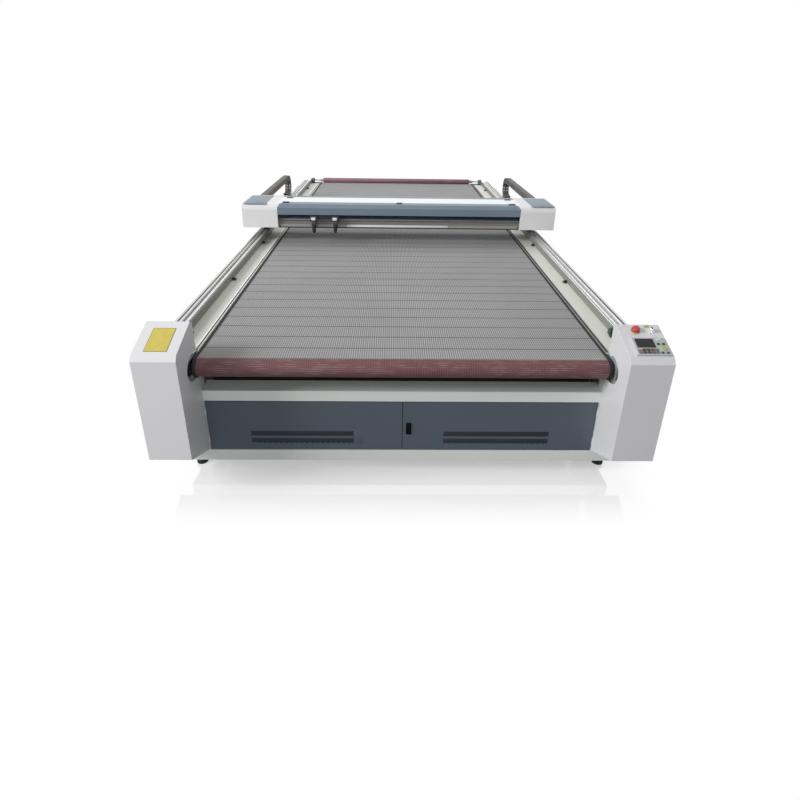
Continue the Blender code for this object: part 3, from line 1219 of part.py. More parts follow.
def heads():
    """Two mirror-and-lens heads joined by a link bar, each with a sliding focus tube."""
    rail_front = BRIDGE_FRONT - TOUCH - X_RAIL_DEPTH
    plate_back = rail_front - TOUCH
    plate_front = GANTRY_FRONT
    bar = box("head_carriage", (HEAD_PLACES[0] - LINK_BAR_OVERHANG, plate_front, LINK_BAR_BOTTOM),
              (HEAD_PLACES[1] + LINK_BAR_OVERHANG, plate_back, LINK_BAR_TOP), DARK_METAL)
    axis_y = GANTRY_FRONT - HEAD_AXIS_GAP
    focus = [
        (0, FOCUS_TOP),
        (FOCUS_RADIUS, FOCUS_TOP),
        (FOCUS_RADIUS, FOCUS_COLLAR_TOP),
        (FOCUS_COLLAR_RADIUS, FOCUS_COLLAR_TOP),
        (FOCUS_COLLAR_RADIUS, FOCUS_COLLAR_BOTTOM),
        (FOCUS_RADIUS, NOZZLE_SHOULDER),
        (NOZZLE_TIP_RADIUS, NOZZLE_TIP),
        (0, NOZZLE_TIP),
    ]
    for side, x in zip(SIDES, HEAD_PLACES):
        runner = box(f"{side}_head_runner_tool", (x - HEAD_RUNNER_WIDTH / 2, plate_front, HEAD_RUNNER_BOTTOM),
                     (x + HEAD_RUNNER_WIDTH / 2, plate_back, LINK_BAR_TOP - EMBED), collection=cutters)
        fuse(bar, runner)
        front = axis_y - HEAD_DEPTH / 2
        back = plate_front - TOUCH
        half = HEAD_WIDTH / 2
        outline = [
            (front, HEAD_BOTTOM),
            (back, HEAD_BOTTOM),
            (back, HEAD_TOP),
            (front + HEAD_CHAMFER, HEAD_TOP),
            (front, HEAD_TOP - HEAD_CHAMFER),
        ]
        head = prism(f"{side}_laser_head", [outline], "X", x - half, x + half, WHITE)
        low_front = HEAD_TOP - HEAD_BLOCK_HEIGHT
        block = [(front - EMBED, low_front), (back, low_front), (back, HEAD_TOP),
                 (front - EMBED + HEAD_CHAMFER, HEAD_TOP), (front - EMBED, HEAD_TOP - HEAD_CHAMFER)]
        fuse(head, prism(f"{side}_head_block_tool", [block], "X", x - HEAD_BLOCK_WIDTH / 2,
                         x + HEAD_BLOCK_WIDTH / 2, collection=cutters))
        bore = rod(f"{side}_head_bore_tool", "Z", (x, axis_y), FOCUS_RADIUS + BORE_CLEARANCE,
                   HEAD_BOTTOM - OVERRUN, FOCUS_TOP + HEAD_CHAMFER, collection=cutters)
        cut(head, bore)
        turned(f"{side}_focus_tube", focus, Matrix.Translation((x, axis_y, 0)), DARK_METAL)


def chain_path():
    """Middle line of a chain from the housing back along the upper run and round the bend:
    points (y, z) with the direction of travel in degrees."""
    start = GANTRY_REAR + TOUCH
    bend_y = from_front(CHAIN_BEND_SETBACK)
    centre = (bend_y, CHAIN_MIDDLE - CHAIN_BEND_RADIUS)
    line = [(start, CHAIN_MIDDLE)]
    line += arc(centre, CHAIN_BEND_RADIUS, 90, -90, BEND_SEGMENTS)
    line.append((bend_y - CHAIN_TAIL, CHAIN_MIDDLE - 2 * CHAIN_BEND_RADIUS))
    return line


def along(line, distance):
    """The point at a distance along a line, and the line's angle there."""
    for start, end in zip(line, line[1:]):
        step = Vector(end) - Vector(start)
        if distance <= step.length:
            point = Vector(start) + step.normalized() * distance
            return point, math.atan2(step.y, step.x)
        distance -= step.length
    step = Vector(line[-1]) - Vector(line[-2])
    return Vector(line[-1]), math.atan2(step.y, step.x)


def chain(name, sign):
    """An open-bar cable chain: two side plates that follow the path, tied by a cross bar
    above and below at every link."""
    line = chain_path()
    half = CHAIN_HEIGHT / 2
    band = offset_line(line, half) + list(reversed(offset_line(line, -half)))
    outer_low, outer_high = span(sign, CHAIN_CENTRE + CHAIN_WIDTH / 2 - CHAIN_PLATE,
                                 CHAIN_CENTRE + CHAIN_WIDTH / 2)
    inner_low, inner_high = span(sign, CHAIN_CENTRE - CHAIN_WIDTH / 2,
                                 CHAIN_CENTRE - CHAIN_WIDTH / 2 + CHAIN_PLATE)
    plates = prism(name, [band], "X", outer_low, outer_high, CHAIN_PLASTIC)
    inner_plate = prism(f"{name}_plate_tool", [band], "X", inner_low, inner_high, collection=cutters)
    length = sum((Vector(end) - Vector(start)).length for start, end in zip(line, line[1:]))
    bars = bpy.data.collections.new(f"{name}_bars")
    cutters.children.link(bars)
    bars.objects.link(inner_plate)
    cutters.objects.unlink(inner_plate)
    bar_half = CHAIN_WIDTH / 2 - CHAIN_PLATE + EMBED
    links = int(length / CHAIN_PITCH)
    for number in range(links):
        point, angle = along(line, (number + 0.5) * length / links)
        for level, up in (("upper", half - CHAIN_BAR), ("lower", -half)):
            bar = box(f"{name}_{level}_bar_{number}_tool",
                      (-bar_half, -CHAIN_BAR_LENGTH / 2, up + TOUCH),
                      (bar_half, CHAIN_BAR_LENGTH / 2, up + CHAIN_BAR - TOUCH), collection=cutters)
            bar.matrix_world = (Matrix.Translation((sign * CHAIN_CENTRE, point.x, point.y))
                                @ Matrix.Rotation(angle, 4, "X"))
            bars.objects.link(bar)
            cutters.objects.unlink(bar)
    boolean_with_all(plates, bars, "UNION")


def chain_lower_runs():
    """The fixed part of each chain, lying on its shelf, notched between its links."""
    start = from_front(SHELF_FRONT)
    end = from_front(CHAIN_BEND_SETBACK)
    top = CHAIN_BOTTOM - TOUCH
    bottom = CHAIN_SHELF_TOP + TOUCH
    links = int((end - start) / CHAIN_PITCH)
    pitch = (end - start) / links
    outline = [(start, bottom), (end, bottom), (end, top)]
    for number in range(links - 1, 0, -1):
        y = start + number * pitch
        outline += [(y + CHAIN_NOTCH, top), (y, top - CHAIN_NOTCH), (y - CHAIN_NOTCH, top)]
    outline.append((start, top))
    for side, sign in SIDES.items():
        low_x, high_x = span(sign, CHAIN_CENTRE - CHAIN_WIDTH / 2, CHAIN_CENTRE + CHAIN_WIDTH / 2)
        prism(f"{side}_chain_lower_run", [outline], "X", low_x, high_x, CHAIN_PLASTIC)


def power_supply():
    """The laser's power supply, a finned case standing across two base rails."""
    left = SUPPLY_LEFT
    right = SUPPLY_LEFT + SUPPLY_WIDTH
    bottom = BASE_TOP + TOUCH
    top = bottom + SUPPLY_HEIGHT
    pitch = SUPPLY_WIDTH / SUPPLY_FINS
    outline = [(left, bottom), (right, bottom), (right, top)]
    for number in range(SUPPLY_FINS - 1, 0, -1):
        x = left + number * pitch
        half = pitch * SUPPLY_FIN_SHARE / 2
        outline += [(x + half, top), (x + half, top - SUPPLY_FIN_DEPTH),
                    (x - half, top - SUPPLY_FIN_DEPTH), (x - half, top)]
    outline.append((left, top))
    front = from_front(SUPPLY_FRONT)
    prism("power_supply", [outline], "Y", front, front + SUPPLY_DEPTH, DARK_METAL)


feet()
base_frame()
upright_frames()
doors()
latch()
bed_sides()
side_panels()
bed_table()
mesh_belt()
rollers()
bearings()
conveyor_gearmotor()
pods()
controls()
housings()
bridge()
covers()
laser_tube()
carriages()
heads()
for chain_side, chain_sign in SIDES.items():
    chain(f"{chain_side}_cable_chain", chain_sign)
chain_lower_runs()
power_supply()
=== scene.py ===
"""Dresses the gantry laser machine for its photograph: camera, light, materials and detail."""

import math

import bmesh
import bpy
from mathutils import Matrix, Vector


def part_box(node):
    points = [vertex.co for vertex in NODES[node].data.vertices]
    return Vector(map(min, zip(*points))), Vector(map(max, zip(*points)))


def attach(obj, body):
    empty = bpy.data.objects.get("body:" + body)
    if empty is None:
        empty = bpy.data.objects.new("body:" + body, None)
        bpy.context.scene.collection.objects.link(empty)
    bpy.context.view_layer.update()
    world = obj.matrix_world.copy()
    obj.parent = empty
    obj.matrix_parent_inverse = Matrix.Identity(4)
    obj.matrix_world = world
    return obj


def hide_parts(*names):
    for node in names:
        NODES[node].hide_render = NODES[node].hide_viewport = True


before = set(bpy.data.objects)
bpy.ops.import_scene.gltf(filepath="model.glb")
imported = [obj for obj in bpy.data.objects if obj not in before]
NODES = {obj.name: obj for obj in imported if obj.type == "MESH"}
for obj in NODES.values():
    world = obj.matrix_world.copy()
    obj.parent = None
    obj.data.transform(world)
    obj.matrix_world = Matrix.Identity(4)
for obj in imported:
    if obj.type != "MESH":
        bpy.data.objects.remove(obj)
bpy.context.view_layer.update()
SIDES = {"left": -1, "right": 1}


# Camera: fitted to the photograph's edges, so that the frame's metres fall on their pixels.
# It stands at the operator's end, a little left of the middle, and looks down on the belt.
IMAGE_SIDE = 800
FOCAL_PIXELS = 524.58
PRINCIPAL_ROW = 300
SENSOR = 36.0
FAR_CLIP = 200
CAMERA_PLACE = (-0.0744, -5.2306, 2.2108)
UPRIGHT = math.radians(90)
PITCH = math.radians(22.35)
YAW = math.radians(-1.09)
ROLL = math.radians(0.87)


def linked(name, data):
    made = bpy.data.objects.new(name, data)
    bpy.context.scene.collection.objects.link(made)
    return made


camera_data = bpy.data.cameras.new("photo_camera")
camera_data.sensor_width = SENSOR
camera_data.lens = SENSOR * FOCAL_PIXELS / IMAGE_SIDE
camera_data.shift_y = (PRINCIPAL_ROW - IMAGE_SIDE / 2) / IMAGE_SIDE
camera_data.clip_end = FAR_CLIP
camera = linked("photo_camera", camera_data)
camera.matrix_world = (Matrix.Translation(CAMERA_PLACE) @ Matrix.Rotation(YAW, 4, "Z")
                       @ Matrix.Rotation(UPRIGHT - PITCH, 4, "X") @ Matrix.Rotation(ROLL, 4, "Z"))
bpy.context.scene.camera = camera
bpy.context.scene.view_settings.view_transform = "Standard"


# Studio: a white surround with one large lamp high on the left and two weak ones.
# The camera and mirrors see the surround pure white, and every other ray gets less of it.
WORLD_LIGHT = 0.32
PURE_WHITE = (1, 1, 1, 1)
LAMPS = {
    "key": ((-12.0, -6.6, 7.5), (5.5, 5.5), 1720, (0, -1.0, 0.8)),
    "overhead": ((0.3, 2.6, 5.6), (4.0, 4.0), 110, (0.3, 2.6, 0)),
    "front": ((-0.5, -9.5, 3.0), (4.0, 3.0), 90, (0, -2.0, 0.6)),
}


def add_node(tree, kind, settings=None, inputs=None):
    """A node of this kind: its settings are set first, then its sockets get values or links."""
    node = tree.nodes.new(kind)
    for setting, value in (settings or {}).items():
        setattr(node, setting, value)
    for key, value in (inputs or {}).items():
        source = getattr(value, "socket", value)
        if isinstance(source, bpy.types.NodeSocket):
            tree.links.new(source, node.inputs[key])
        else:
            node.inputs[key].default_value = source
    return node


world = bpy.data.worlds.new("studio")
bpy.context.scene.world = world
world.use_nodes = True
sky = world.node_tree
backdrop = sky.nodes["Background"]
backdrop.inputs["Color"].default_value = PURE_WHITE
backdrop.inputs["Strength"].default_value = WORLD_LIGHT
seen = add_node(sky, "ShaderNodeBackground", inputs={"Color": PURE_WHITE, "Strength": 1.0})
ray = add_node(sky, "ShaderNodeLightPath")
direct = add_node(sky, "ShaderNodeMath", {"operation": "MAXIMUM"},
                  {0: ray.outputs["Is Camera Ray"], 1: ray.outputs["Is Glossy Ray"]})
choose = add_node(sky, "ShaderNodeMixShader",
                  inputs={0: direct.outputs[0], 1: backdrop.outputs[0], 2: seen.outputs[0]})
sky.links.new(choose.outputs[0], sky.nodes["World Output"].inputs[0])

for lamp_name, (place, size, power, target) in LAMPS.items():
    lamp_data = bpy.data.lights.new(lamp_name, "AREA")
    lamp_data.shape = "RECTANGLE"
    lamp_data.size, lamp_data.size_y = size
    lamp_data.energy = power
    lamp = linked(lamp_name, lamp_data)
    lamp.location = place
    lamp.rotation_euler = (Vector(target) - Vector(place)).to_track_quat("-Z", "Y").to_euler()


# Cabinet: welded portals of square tube at the front and the rear, with folded sheet sides
# screwed between them. All of it is steel in a cream powder coat with a fine orange peel.
class Value:
    """A node's output that adds, multiplies and mixes like a number."""

    def __init__(self, tree, socket):
        self.tree = tree
        self.socket = socket

    def math(self, operation, *operands):
        node = add_node(self.tree, "ShaderNodeMath", {"operation": operation}, dict(enumerate(operands)))
        return Value(self.tree, node.outputs[0])

    def __add__(self, other):
        return self.math("ADD", self, other)

    def __sub__(self, other):
        return self.math("SUBTRACT", self, other)

    def __rsub__(self, other):
        return self.math("SUBTRACT", other, self)

    def __mul__(self, other):
        return self.math("MULTIPLY", self, other)

    def __truediv__(self, other):
        return self.math("DIVIDE", self, other)

    def fraction(self):
        return self.math("FRACT", self)

    def absolute(self):
        return self.math("ABSOLUTE", self)

    def at_least(self, other):
        return self.math("MAXIMUM", self, other)

    def ramp(self, low, high):
        """0 at low, 1 at high, smooth between."""
        node = add_node(self.tree, "ShaderNodeMapRange", {"interpolation_type": "SMOOTHSTEP"},
                        {"Value": self, "From Min": low, "From Max": high})
        return Value(self.tree, node.outputs[0])

    def line(self, pitch, width, soft_share=0.3):
        """1 on lines of this width that repeat at the pitch, 0 between them."""
        place = ((self / pitch).fraction() - 0.5).absolute() * pitch
        return place.ramp(width / 2 * (1 + soft_share), width / 2 * (1 - soft_share))


class Finish:
    """A Principled material under construction, patterned on Object coordinates."""

    def __init__(self, name, colour, roughness, metallic=0.0, **sockets):
        self.material = bpy.data.materials.new(name)
        self.material.use_nodes = True
        self.material.diffuse_color = (*colour, 1)
        self.tree = self.material.node_tree
        self.shader = self.tree.nodes["Principled BSDF"]
        sockets.update(Base_Color=(*colour, 1), Roughness=roughness, Metallic=metallic)
        for socket, value in sockets.items():
            self.shader.inputs[socket.replace("_", " ")].default_value = value
        self.position = add_node(self.tree, "ShaderNodeTexCoord").outputs["Object"]
        split = add_node(self.tree, "ShaderNodeSeparateXYZ", inputs={0: self.position})
        self.x, self.y, self.z = (Value(self.tree, output) for output in split.outputs)

    def noise(self, scale, stretch=(1, 1, 1), detail=3.0):
        mapping = add_node(self.tree, "ShaderNodeMapping", inputs={"Scale": stretch, "Vector": self.position})
        texture = add_node(self.tree, "ShaderNodeTexNoise",
                           inputs={"Scale": scale, "Detail": detail, "Vector": mapping.outputs[0]})
        return Value(self.tree, texture.outputs["Fac"])

    def mix(self, amount, first, second):
        """A colour between two, each a colour triple or the output of another mix."""
        first, second = ((*colour, 1) if isinstance(colour, tuple) else colour for colour in (first, second))
        node = add_node(self.tree, "ShaderNodeMix", {"data_type": "RGBA"},
                        {"Factor": amount, 6: first, 7: second})
        return node.outputs[2]

    def colour(self, socket):
        self.tree.links.new(socket, self.shader.inputs["Base Color"])

    def rough(self, value):
        self.tree.links.new(value.socket, self.shader.inputs["Roughness"])

    def bump(self, height, distance, strength=1.0):
        node = add_node(self.tree, "ShaderNodeBump",
                        inputs={"Distance": distance, "Strength": strength, "Height": height})
        self.tree.links.new(node.outputs[0], self.shader.inputs["Normal"])


CLOUD_SCALE = 1.7
GLOSS_SCALE = 14.0
GLOSS_SWING = 0.12
PEEL_SCALE = 650.0
PEEL_DEPTH = 0.00012
PEEL_STRENGTH = 0.5


def tint(colour, factor):
    return tuple(min(channel * factor, 1.0) for channel in colour)


def paint(name, colour, roughness, cloud_share=0.05):
    """Powder coat: fine orange peel, faint clouding and slightly uneven gloss."""
    made = Finish(name, colour, roughness)
    cloud = made.noise(CLOUD_SCALE, detail=4.0)
    made.colour(made.mix(cloud, tint(colour, 1 - cloud_share), tint(colour, 1 + cloud_share)))
    made.rough(made.noise(GLOSS_SCALE) * GLOSS_SWING + (roughness - GLOSS_SWING / 2))
    made.bump(made.noise(PEEL_SCALE, detail=1.0), PEEL_DEPTH, PEEL_STRENGTH)
    return made


def repaint(finish, *nodes):
    """Gives CAD nodes that stay a finished material."""
    for node in nodes:
        mesh_object = NODES[node]
        if not mesh_object.material_slots:
            mesh_object.data.materials.append(finish.material)
        for material_slot in mesh_object.material_slots:
            material_slot.material = finish.material


CREAM = paint("cream_coat", (0.76, 0.79, 0.765), 0.42)
repaint(CREAM, "base_frame", "front_frame", "rear_frame", "left_side_panel", "right_side_panel")


# Feet: levelling feet of black rubber on screws, one under each corner of the cabinet.
# The rubber has a fine moulded grain.
RUBBER_GRAIN = 500.0
RUBBER_GRAIN_DEPTH = 0.0002
RUBBER = Finish("black_rubber", (0.018, 0.019, 0.020), 0.62)
RUBBER.bump(RUBBER.noise(RUBBER_GRAIN), RUBBER_GRAIN_DEPTH, 0.5)
repaint(RUBBER, "front_left_foot", "front_right_foot", "rear_left_foot", "rear_right_foot")


# Black sheet behind the front shelf: painted shade, one folded strip of steel that closes the view under the
# belt so that the gap there reads dark. It lies on the shelf and stands up at the shelf's rear.
SHADE_SHEET_FOOT = ((-1.120, -2.5318, 0.5790), (1.120, -2.4880, 0.5808))
SHADE_SHEET_WALL = ((-1.120, -2.4900, 0.5790), (1.120, -2.4880, 0.700))
SHADE_SHEET_ROUNDING = 0.0004
EDGE_ANGLE = 35
SMOOTH_ANGLE = 40


def add_piece(name, mesh, finish, body="machine", smooth_angle=None):
    made = linked(name, mesh)
    if not mesh.materials:
        mesh.materials.append(finish.material)
    if smooth_angle:
        mesh.shade_smooth()
        mesh.set_sharp_from_angle(angle=math.radians(smooth_angle))
    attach(made, body)
    return made


def mesh_of(work, name):
    work.normal_update()
    bmesh.ops.recalc_face_normals(work, faces=work.faces)
    mesh = bpy.data.meshes.new(name)
    work.to_mesh(mesh)
    work.free()
    return mesh


def join(work, part):
    mesh = bpy.data.meshes.new("joined")
    part.to_mesh(mesh)
    part.free()
    work.from_mesh(mesh)
    bpy.data.meshes.remove(mesh)


def round_edges(work, width):
    edges = [edge for edge in work.edges
             if len(edge.link_faces) == 2 and edge.calc_face_angle(0) > math.radians(EDGE_ANGLE)]
    if edges and width:
        bmesh.ops.bevel(work, geom=edges, offset=width, segments=2, affect="EDGES",
                        profile=0.5, clamp_overlap=True)


def add_box(work, low, high, rounding=0.0):
    """Adds a box with rounded edges to a mesh under construction."""
    part = bmesh.new()
    low = Vector(low)
    high = Vector(high)
    place = Matrix.Translation((low + high) / 2) @ Matrix.Diagonal((*(high - low), 1))
    bmesh.ops.create_cube(part, size=1, matrix=place)
    round_edges(part, rounding)
    join(work, part)


def box_mesh(name, places, rounding):
    """One mesh of rounded boxes, each given as (low corner, high corner)."""
    work = bmesh.new()
    for low, high in places:
        add_box(work, low, high, rounding)
    return mesh_of(work, name)


def boxes(name, places, finish, body="machine", rounding=0.001):
    return add_piece(name, box_mesh(name, places, rounding), finish, body, SMOOTH_ANGLE)


BLACK_COAT = paint("black_coat", (0.022, 0.023, 0.025), 0.45, 0.20)
# This sheet is painted shade: black where the gap under the belt is dark.
boxes("front_baffle", [SHADE_SHEET_FOOT, SHADE_SHEET_WALL], BLACK_COAT, rounding=SHADE_SHEET_ROUNDING)


# Doors: two pressed steel pans in a dark blue powder coat, with two rows of fine vent slots each.
# The vent rows are painted shade: a near-black plate behind each row, and ribs in a darker copy of the door
# coat.
# A rubber seal is glued to the left door's free edge, and a black flush latch sits in the right door.
# The laser's supply stands behind the right door, in a dark coat of its own.
VENT_SPANS = {"left": (-0.894, -0.288), "right": (0.2455, 0.874)}
VENT_ROWS = ((0.224, 0.255), (0.273, 0.306))
VENT_PLATE_FRONT = 0.0008
PLATE_BACK = 0.0001
PLATE_ROUNDING = 0.0002
RIB_COUNT = 56
RIB_HALF = 0.0010
RIB_FRONT = 0.0016
RIB_MARGIN = 0.002
DOOR_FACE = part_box("left_door")[0][1]
BLANK_BOX = ((-0.2878, DOOR_FACE - 0.0006, 0.212), (-0.238, DOOR_FACE - PLATE_BACK, 0.318))
SEAL_BOX = ((-0.0015, DOOR_FACE + 0.006, 0.180), (0.0015, DOOR_FACE + 0.018, 0.504))
SEAL_ROUNDING = 0.0004

DOOR_BLUE = paint("door_coat", (0.084, 0.110, 0.140), 0.42)
# Vent ribs and vent plates are painted shade: darker than the door coat where the vent rows lie in shade.
VENT_RIB_PAINTED_SHADE = paint("vent_rib", (0.030, 0.040, 0.054), 0.60, 0.10)
VENT_PAINTED_SHADE = paint("vent_painted_shade", (0.014, 0.019, 0.028), 0.60, 0.10)
LATCH_BLACK = Finish("latch_black", (0.004, 0.005, 0.008), 0.6, Specular_IOR_Level=0.08)
SUPPLY_COAT = paint("supply_coat", (0.10, 0.10, 0.11), 0.45, 0.10)
repaint(DOOR_BLUE, "left_door", "right_door")
repaint(LATCH_BLACK, "latch_plate", "latch_handle")
repaint(SUPPLY_COAT, "power_supply")


def begin_tree(name, sizes):
    """A geometry tree with named inputs for the piece that is copied, its layout and its finish."""
    tree = bpy.data.node_groups.new(name, "GeometryNodeTree")
    kinds = {"Geometry": "Geometry", "Piece": "Object", **sizes, "Finish": "Material"}
    for title, kind in kinds.items():
        tree.interface.new_socket(title, in_out="INPUT", socket_type=f"NodeSocket{kind}")
    tree.interface.new_socket("Geometry", in_out="OUTPUT", socket_type="NodeSocketGeometry")
    return tree, add_node(tree, "NodeGroupInput").outputs


def end_tree(tree, given, points, turn=None):
    """Puts a copy of the piece on each point, beside what the tree was given, and paints it all."""
    piece = add_node(tree, "GeometryNodeObjectInfo", inputs={"Object": given["Piece"]})
    copies = add_node(tree, "GeometryNodeInstanceOnPoints",
                      inputs={"Points": points, "Instance": piece.outputs["Geometry"]})
    if turn:
        tree.links.new(turn, copies.inputs["Rotation"])
    joined = add_node(tree, "GeometryNodeJoinGeometry", inputs={0: given["Geometry"]})
    tree.links.new(copies.outputs[0], joined.inputs[0])
    plain = add_node(tree, "GeometryNodeRealizeInstances", inputs={0: joined.outputs[0]})
    painted = add_node(tree, "GeometryNodeSetMaterial",
                       inputs={"Geometry": plain.outputs[0], "Material": given["Finish"]})
    add_node(tree, "NodeGroupOutput", inputs={0: painted.outputs[0]})


def row_tree():
    """Copies of a piece on a straight row: a start, a step from each to the next, and a count."""
    tree, given = begin_tree("pieces_in_a_row", {"Start": "Vector", "Step": "Vector", "Count": "Int"})
    row = add_node(tree, "GeometryNodeMeshLine", {"mode": "OFFSET"},
                   {"Count": given["Count"], "Start Location": given["Start"], "Offset": given["Step"]})
    end_tree(tree, given, row.outputs[0])
    return tree


def grow(name, tree, base=None, **inputs):
    """The plain mesh that a tree makes. The modifier goes again, with the objects that fed it."""
    host = linked(name, base or bpy.data.meshes.new(name))
    modifier = host.modifiers.new("copies", "NODES")
    modifier.node_group = tree
    for item in tree.interface.items_tree:
        if item.in_out == "INPUT" and item.name in inputs:
            modifier[item.identifier] = inputs[item.name]
    ready = host.evaluated_get(bpy.context.evaluated_depsgraph_get())
    mesh = bpy.data.meshes.new_from_object(ready)
    mesh.name = name
    host.modifiers.clear()
    for used in (host, *inputs.values()):
        if isinstance(used, bpy.types.Object):
            bpy.data.objects.remove(used)
    return mesh


ROW = row_tree()
for side in SIDES:
    low_x, high_x = VENT_SPANS[side]
    plates = [((low_x, DOOR_FACE - VENT_PLATE_FRONT, low_z), (high_x, DOOR_FACE - PLATE_BACK, high_z))
              for low_z, high_z in VENT_ROWS]
    boxes(f"{side}_vent_panels", plates, VENT_PAINTED_SHADE, f"{side}_door", PLATE_ROUNDING)
    rib_pair = [((-RIB_HALF, DOOR_FACE - RIB_FRONT, low_z + RIB_MARGIN),
                 (RIB_HALF, DOOR_FACE - VENT_PLATE_FRONT, high_z - RIB_MARGIN)) for low_z, high_z in VENT_ROWS]
    rib_pitch = (high_x - low_x) / RIB_COUNT
    ribs = grow(f"{side}_vent_ribs", ROW, Piece=linked("rib_pair", box_mesh("rib_pair", rib_pair, 0.0)),
                Start=(low_x + rib_pitch / 2, 0.0, 0.0), Step=(rib_pitch, 0.0, 0.0), Count=RIB_COUNT,
                Finish=VENT_RIB_PAINTED_SHADE.material)
    add_piece(f"{side}_vent_ribs", ribs, VENT_RIB_PAINTED_SHADE, f"{side}_door", SMOOTH_ANGLE)
boxes("left_vent_blank", [BLANK_BOX], DOOR_BLUE, "left_door", PLATE_ROUNDING)
boxes("door_seal", [SEAL_BOX], RUBBER, "left_door", SEAL_ROUNDING)


# Belt: a woven glass mesh in grey, closed round two rollers, with a dark rod through it at each pitch.
# Where it turns over a roller, the roller's red cloth shows through the mesh.
# It runs over a black table between two folded cream sills.
BELT_TOP = 0.814
BELT_THICKNESS = 0.006
ROLLER_LOW, ROLLER_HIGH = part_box("front_roller")
REAR_LOW, REAR_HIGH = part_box("rear_roller")
ROLLER_Y = (ROLLER_LOW[1] + ROLLER_HIGH[1]) / 2
ROLLER_Z = (ROLLER_LOW[2] + ROLLER_HIGH[2]) / 2
REAR_ROLLER_Y = (REAR_LOW[1] + REAR_HIGH[1]) / 2
BELT_RADIUS = BELT_TOP - ROLLER_Z
BELT_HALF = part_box("mesh_belt")[1][0]
TURN_STEPS = 24
ROD_PITCH = 0.1444
ROD_WIDTH = 0.0108
ROD_START = -2.563
RIB_PITCH = ROD_PITCH / 5
RIB_WIDTH = 0.007
THREAD_PITCH = 0.0125
THREAD_WIDTH = 0.0058
PICK_PITCH = 0.0060
PICK_WIDTH = 0.0028
SPECK_PITCH = 0.012
SPECK_WIDTH = 0.0035
SPECK_LENGTH = 0.0060
WEAVE_SOFT_SHARE = 0.8
THREAD_SHARE = 0.6
PICK_SHARE = 0.4
WEAVE_SHARE = 0.97
RIB_SHARE = 0.50
ROD_SHARE = 0.85
RED_THREAD_SHARE = 0.70
SPECK_SHARE = 0.9
RIB_WEAR_SHARE = 0.8
WEAVE_DEPTH = 0.0012
WEAVE_STRENGTH = 0.7
FRONT_TURN = 0.006
REAR_TURN = (0.004, 0.016)
BELT_GREYS = ((0.410, 0.410, 0.410), (0.590, 0.590, 0.588))
GAP_GREY = (0.080, 0.080, 0.083)
RIB_GREY = (0.170, 0.170, 0.172)
ROD_GREY = (0.085, 0.085, 0.088)
BELT_REDS = ((0.135, 0.046, 0.052), (0.235, 0.094, 0.100))
GAP_RED = (0.055, 0.028, 0.032)
SPECK_RED = (0.50, 0.42, 0.42)
MOTTLE_SCALE = 1.3
RED_NOISE = (5.0, (0.25, 1, 1))
WEAR_NOISE = (2.2, (0.4, 1, 1))
SPECK_NOISE = (40.0, (0.3, 1, 1))
SPECK_RANGE = (0.42, 0.72)

SILL_CREAM = paint("sill_coat", (0.74, 0.74, 0.68), 0.45)
repaint(SILL_CREAM, "left_bed_sill", "right_bed_sill")
repaint(BLACK_COAT, "bed_table")


def belt_finish():
    made = Finish("belt_mesh", (0.26, 0.26, 0.26), 0.62)
    turn = made.x.math("ARCTAN2", ROLLER_Y - made.y, made.z - ROLLER_Z).at_least(0.0)
    run = made.y.at_least(ROLLER_Y) - turn * BELT_RADIUS
    phase = run + (ROD_PITCH / 2 - ROD_START)
    rods = phase.line(ROD_PITCH, ROD_WIDTH)
    wear = made.noise(*WEAR_NOISE) * RIB_WEAR_SHARE + (1 - RIB_WEAR_SHARE)
    ribs = phase.line(RIB_PITCH, RIB_WIDTH) * wear
    threads = made.x.line(THREAD_PITCH, THREAD_WIDTH, WEAVE_SOFT_SHARE)
    picks = run.line(PICK_PITCH, PICK_WIDTH, WEAVE_SOFT_SHARE)
    weave = threads * THREAD_SHARE + picks * PICK_SHARE
    grey = made.mix(made.noise(MOTTLE_SCALE, detail=5.0), *BELT_GREYS)
    grey = made.mix(weave * WEAVE_SHARE, grey, GAP_GREY)
    grey = made.mix(ribs * RIB_SHARE, grey, RIB_GREY)
    grey = made.mix(rods * ROD_SHARE, grey, ROD_GREY)
    red = made.mix(made.noise(*RED_NOISE), *BELT_REDS)
    red = made.mix(threads * RED_THREAD_SHARE, red, GAP_RED)
    rows = run.line(SPECK_PITCH, SPECK_WIDTH, WEAVE_SOFT_SHARE)
    columns = made.x.line(THREAD_PITCH, SPECK_LENGTH, WEAVE_SOFT_SHARE)
    specks = rows * columns * made.noise(*SPECK_NOISE).ramp(*SPECK_RANGE) * SPECK_SHARE
    red = made.mix(specks, red, SPECK_RED)
    front = made.y.ramp(ROLLER_Y + FRONT_TURN, ROLLER_Y - FRONT_TURN)
    rear = made.y.ramp(REAR_ROLLER_Y + REAR_TURN[0], REAR_ROLLER_Y + REAR_TURN[1])
    made.colour(made.mix(front.at_least(rear), grey, red))
    made.bump(0 - weave - rods * 2, WEAVE_DEPTH, WEAVE_STRENGTH)
    return made


def arc(centre, radius, start, end, steps):
    angles = [math.radians(start + (end - start) * step / steps) for step in range(steps + 1)]
    return [(centre[0] + radius * math.cos(angle), centre[1] + radius * math.sin(angle)) for angle in angles]


def roller_line(radius):
    """Closed path round both rollers at a radius."""
    front = arc((ROLLER_Y, ROLLER_Z), radius, 90, 270, TURN_STEPS)
    rear = arc((REAR_ROLLER_Y, ROLLER_Z), radius, -90, 90, TURN_STEPS)
    return front + rear


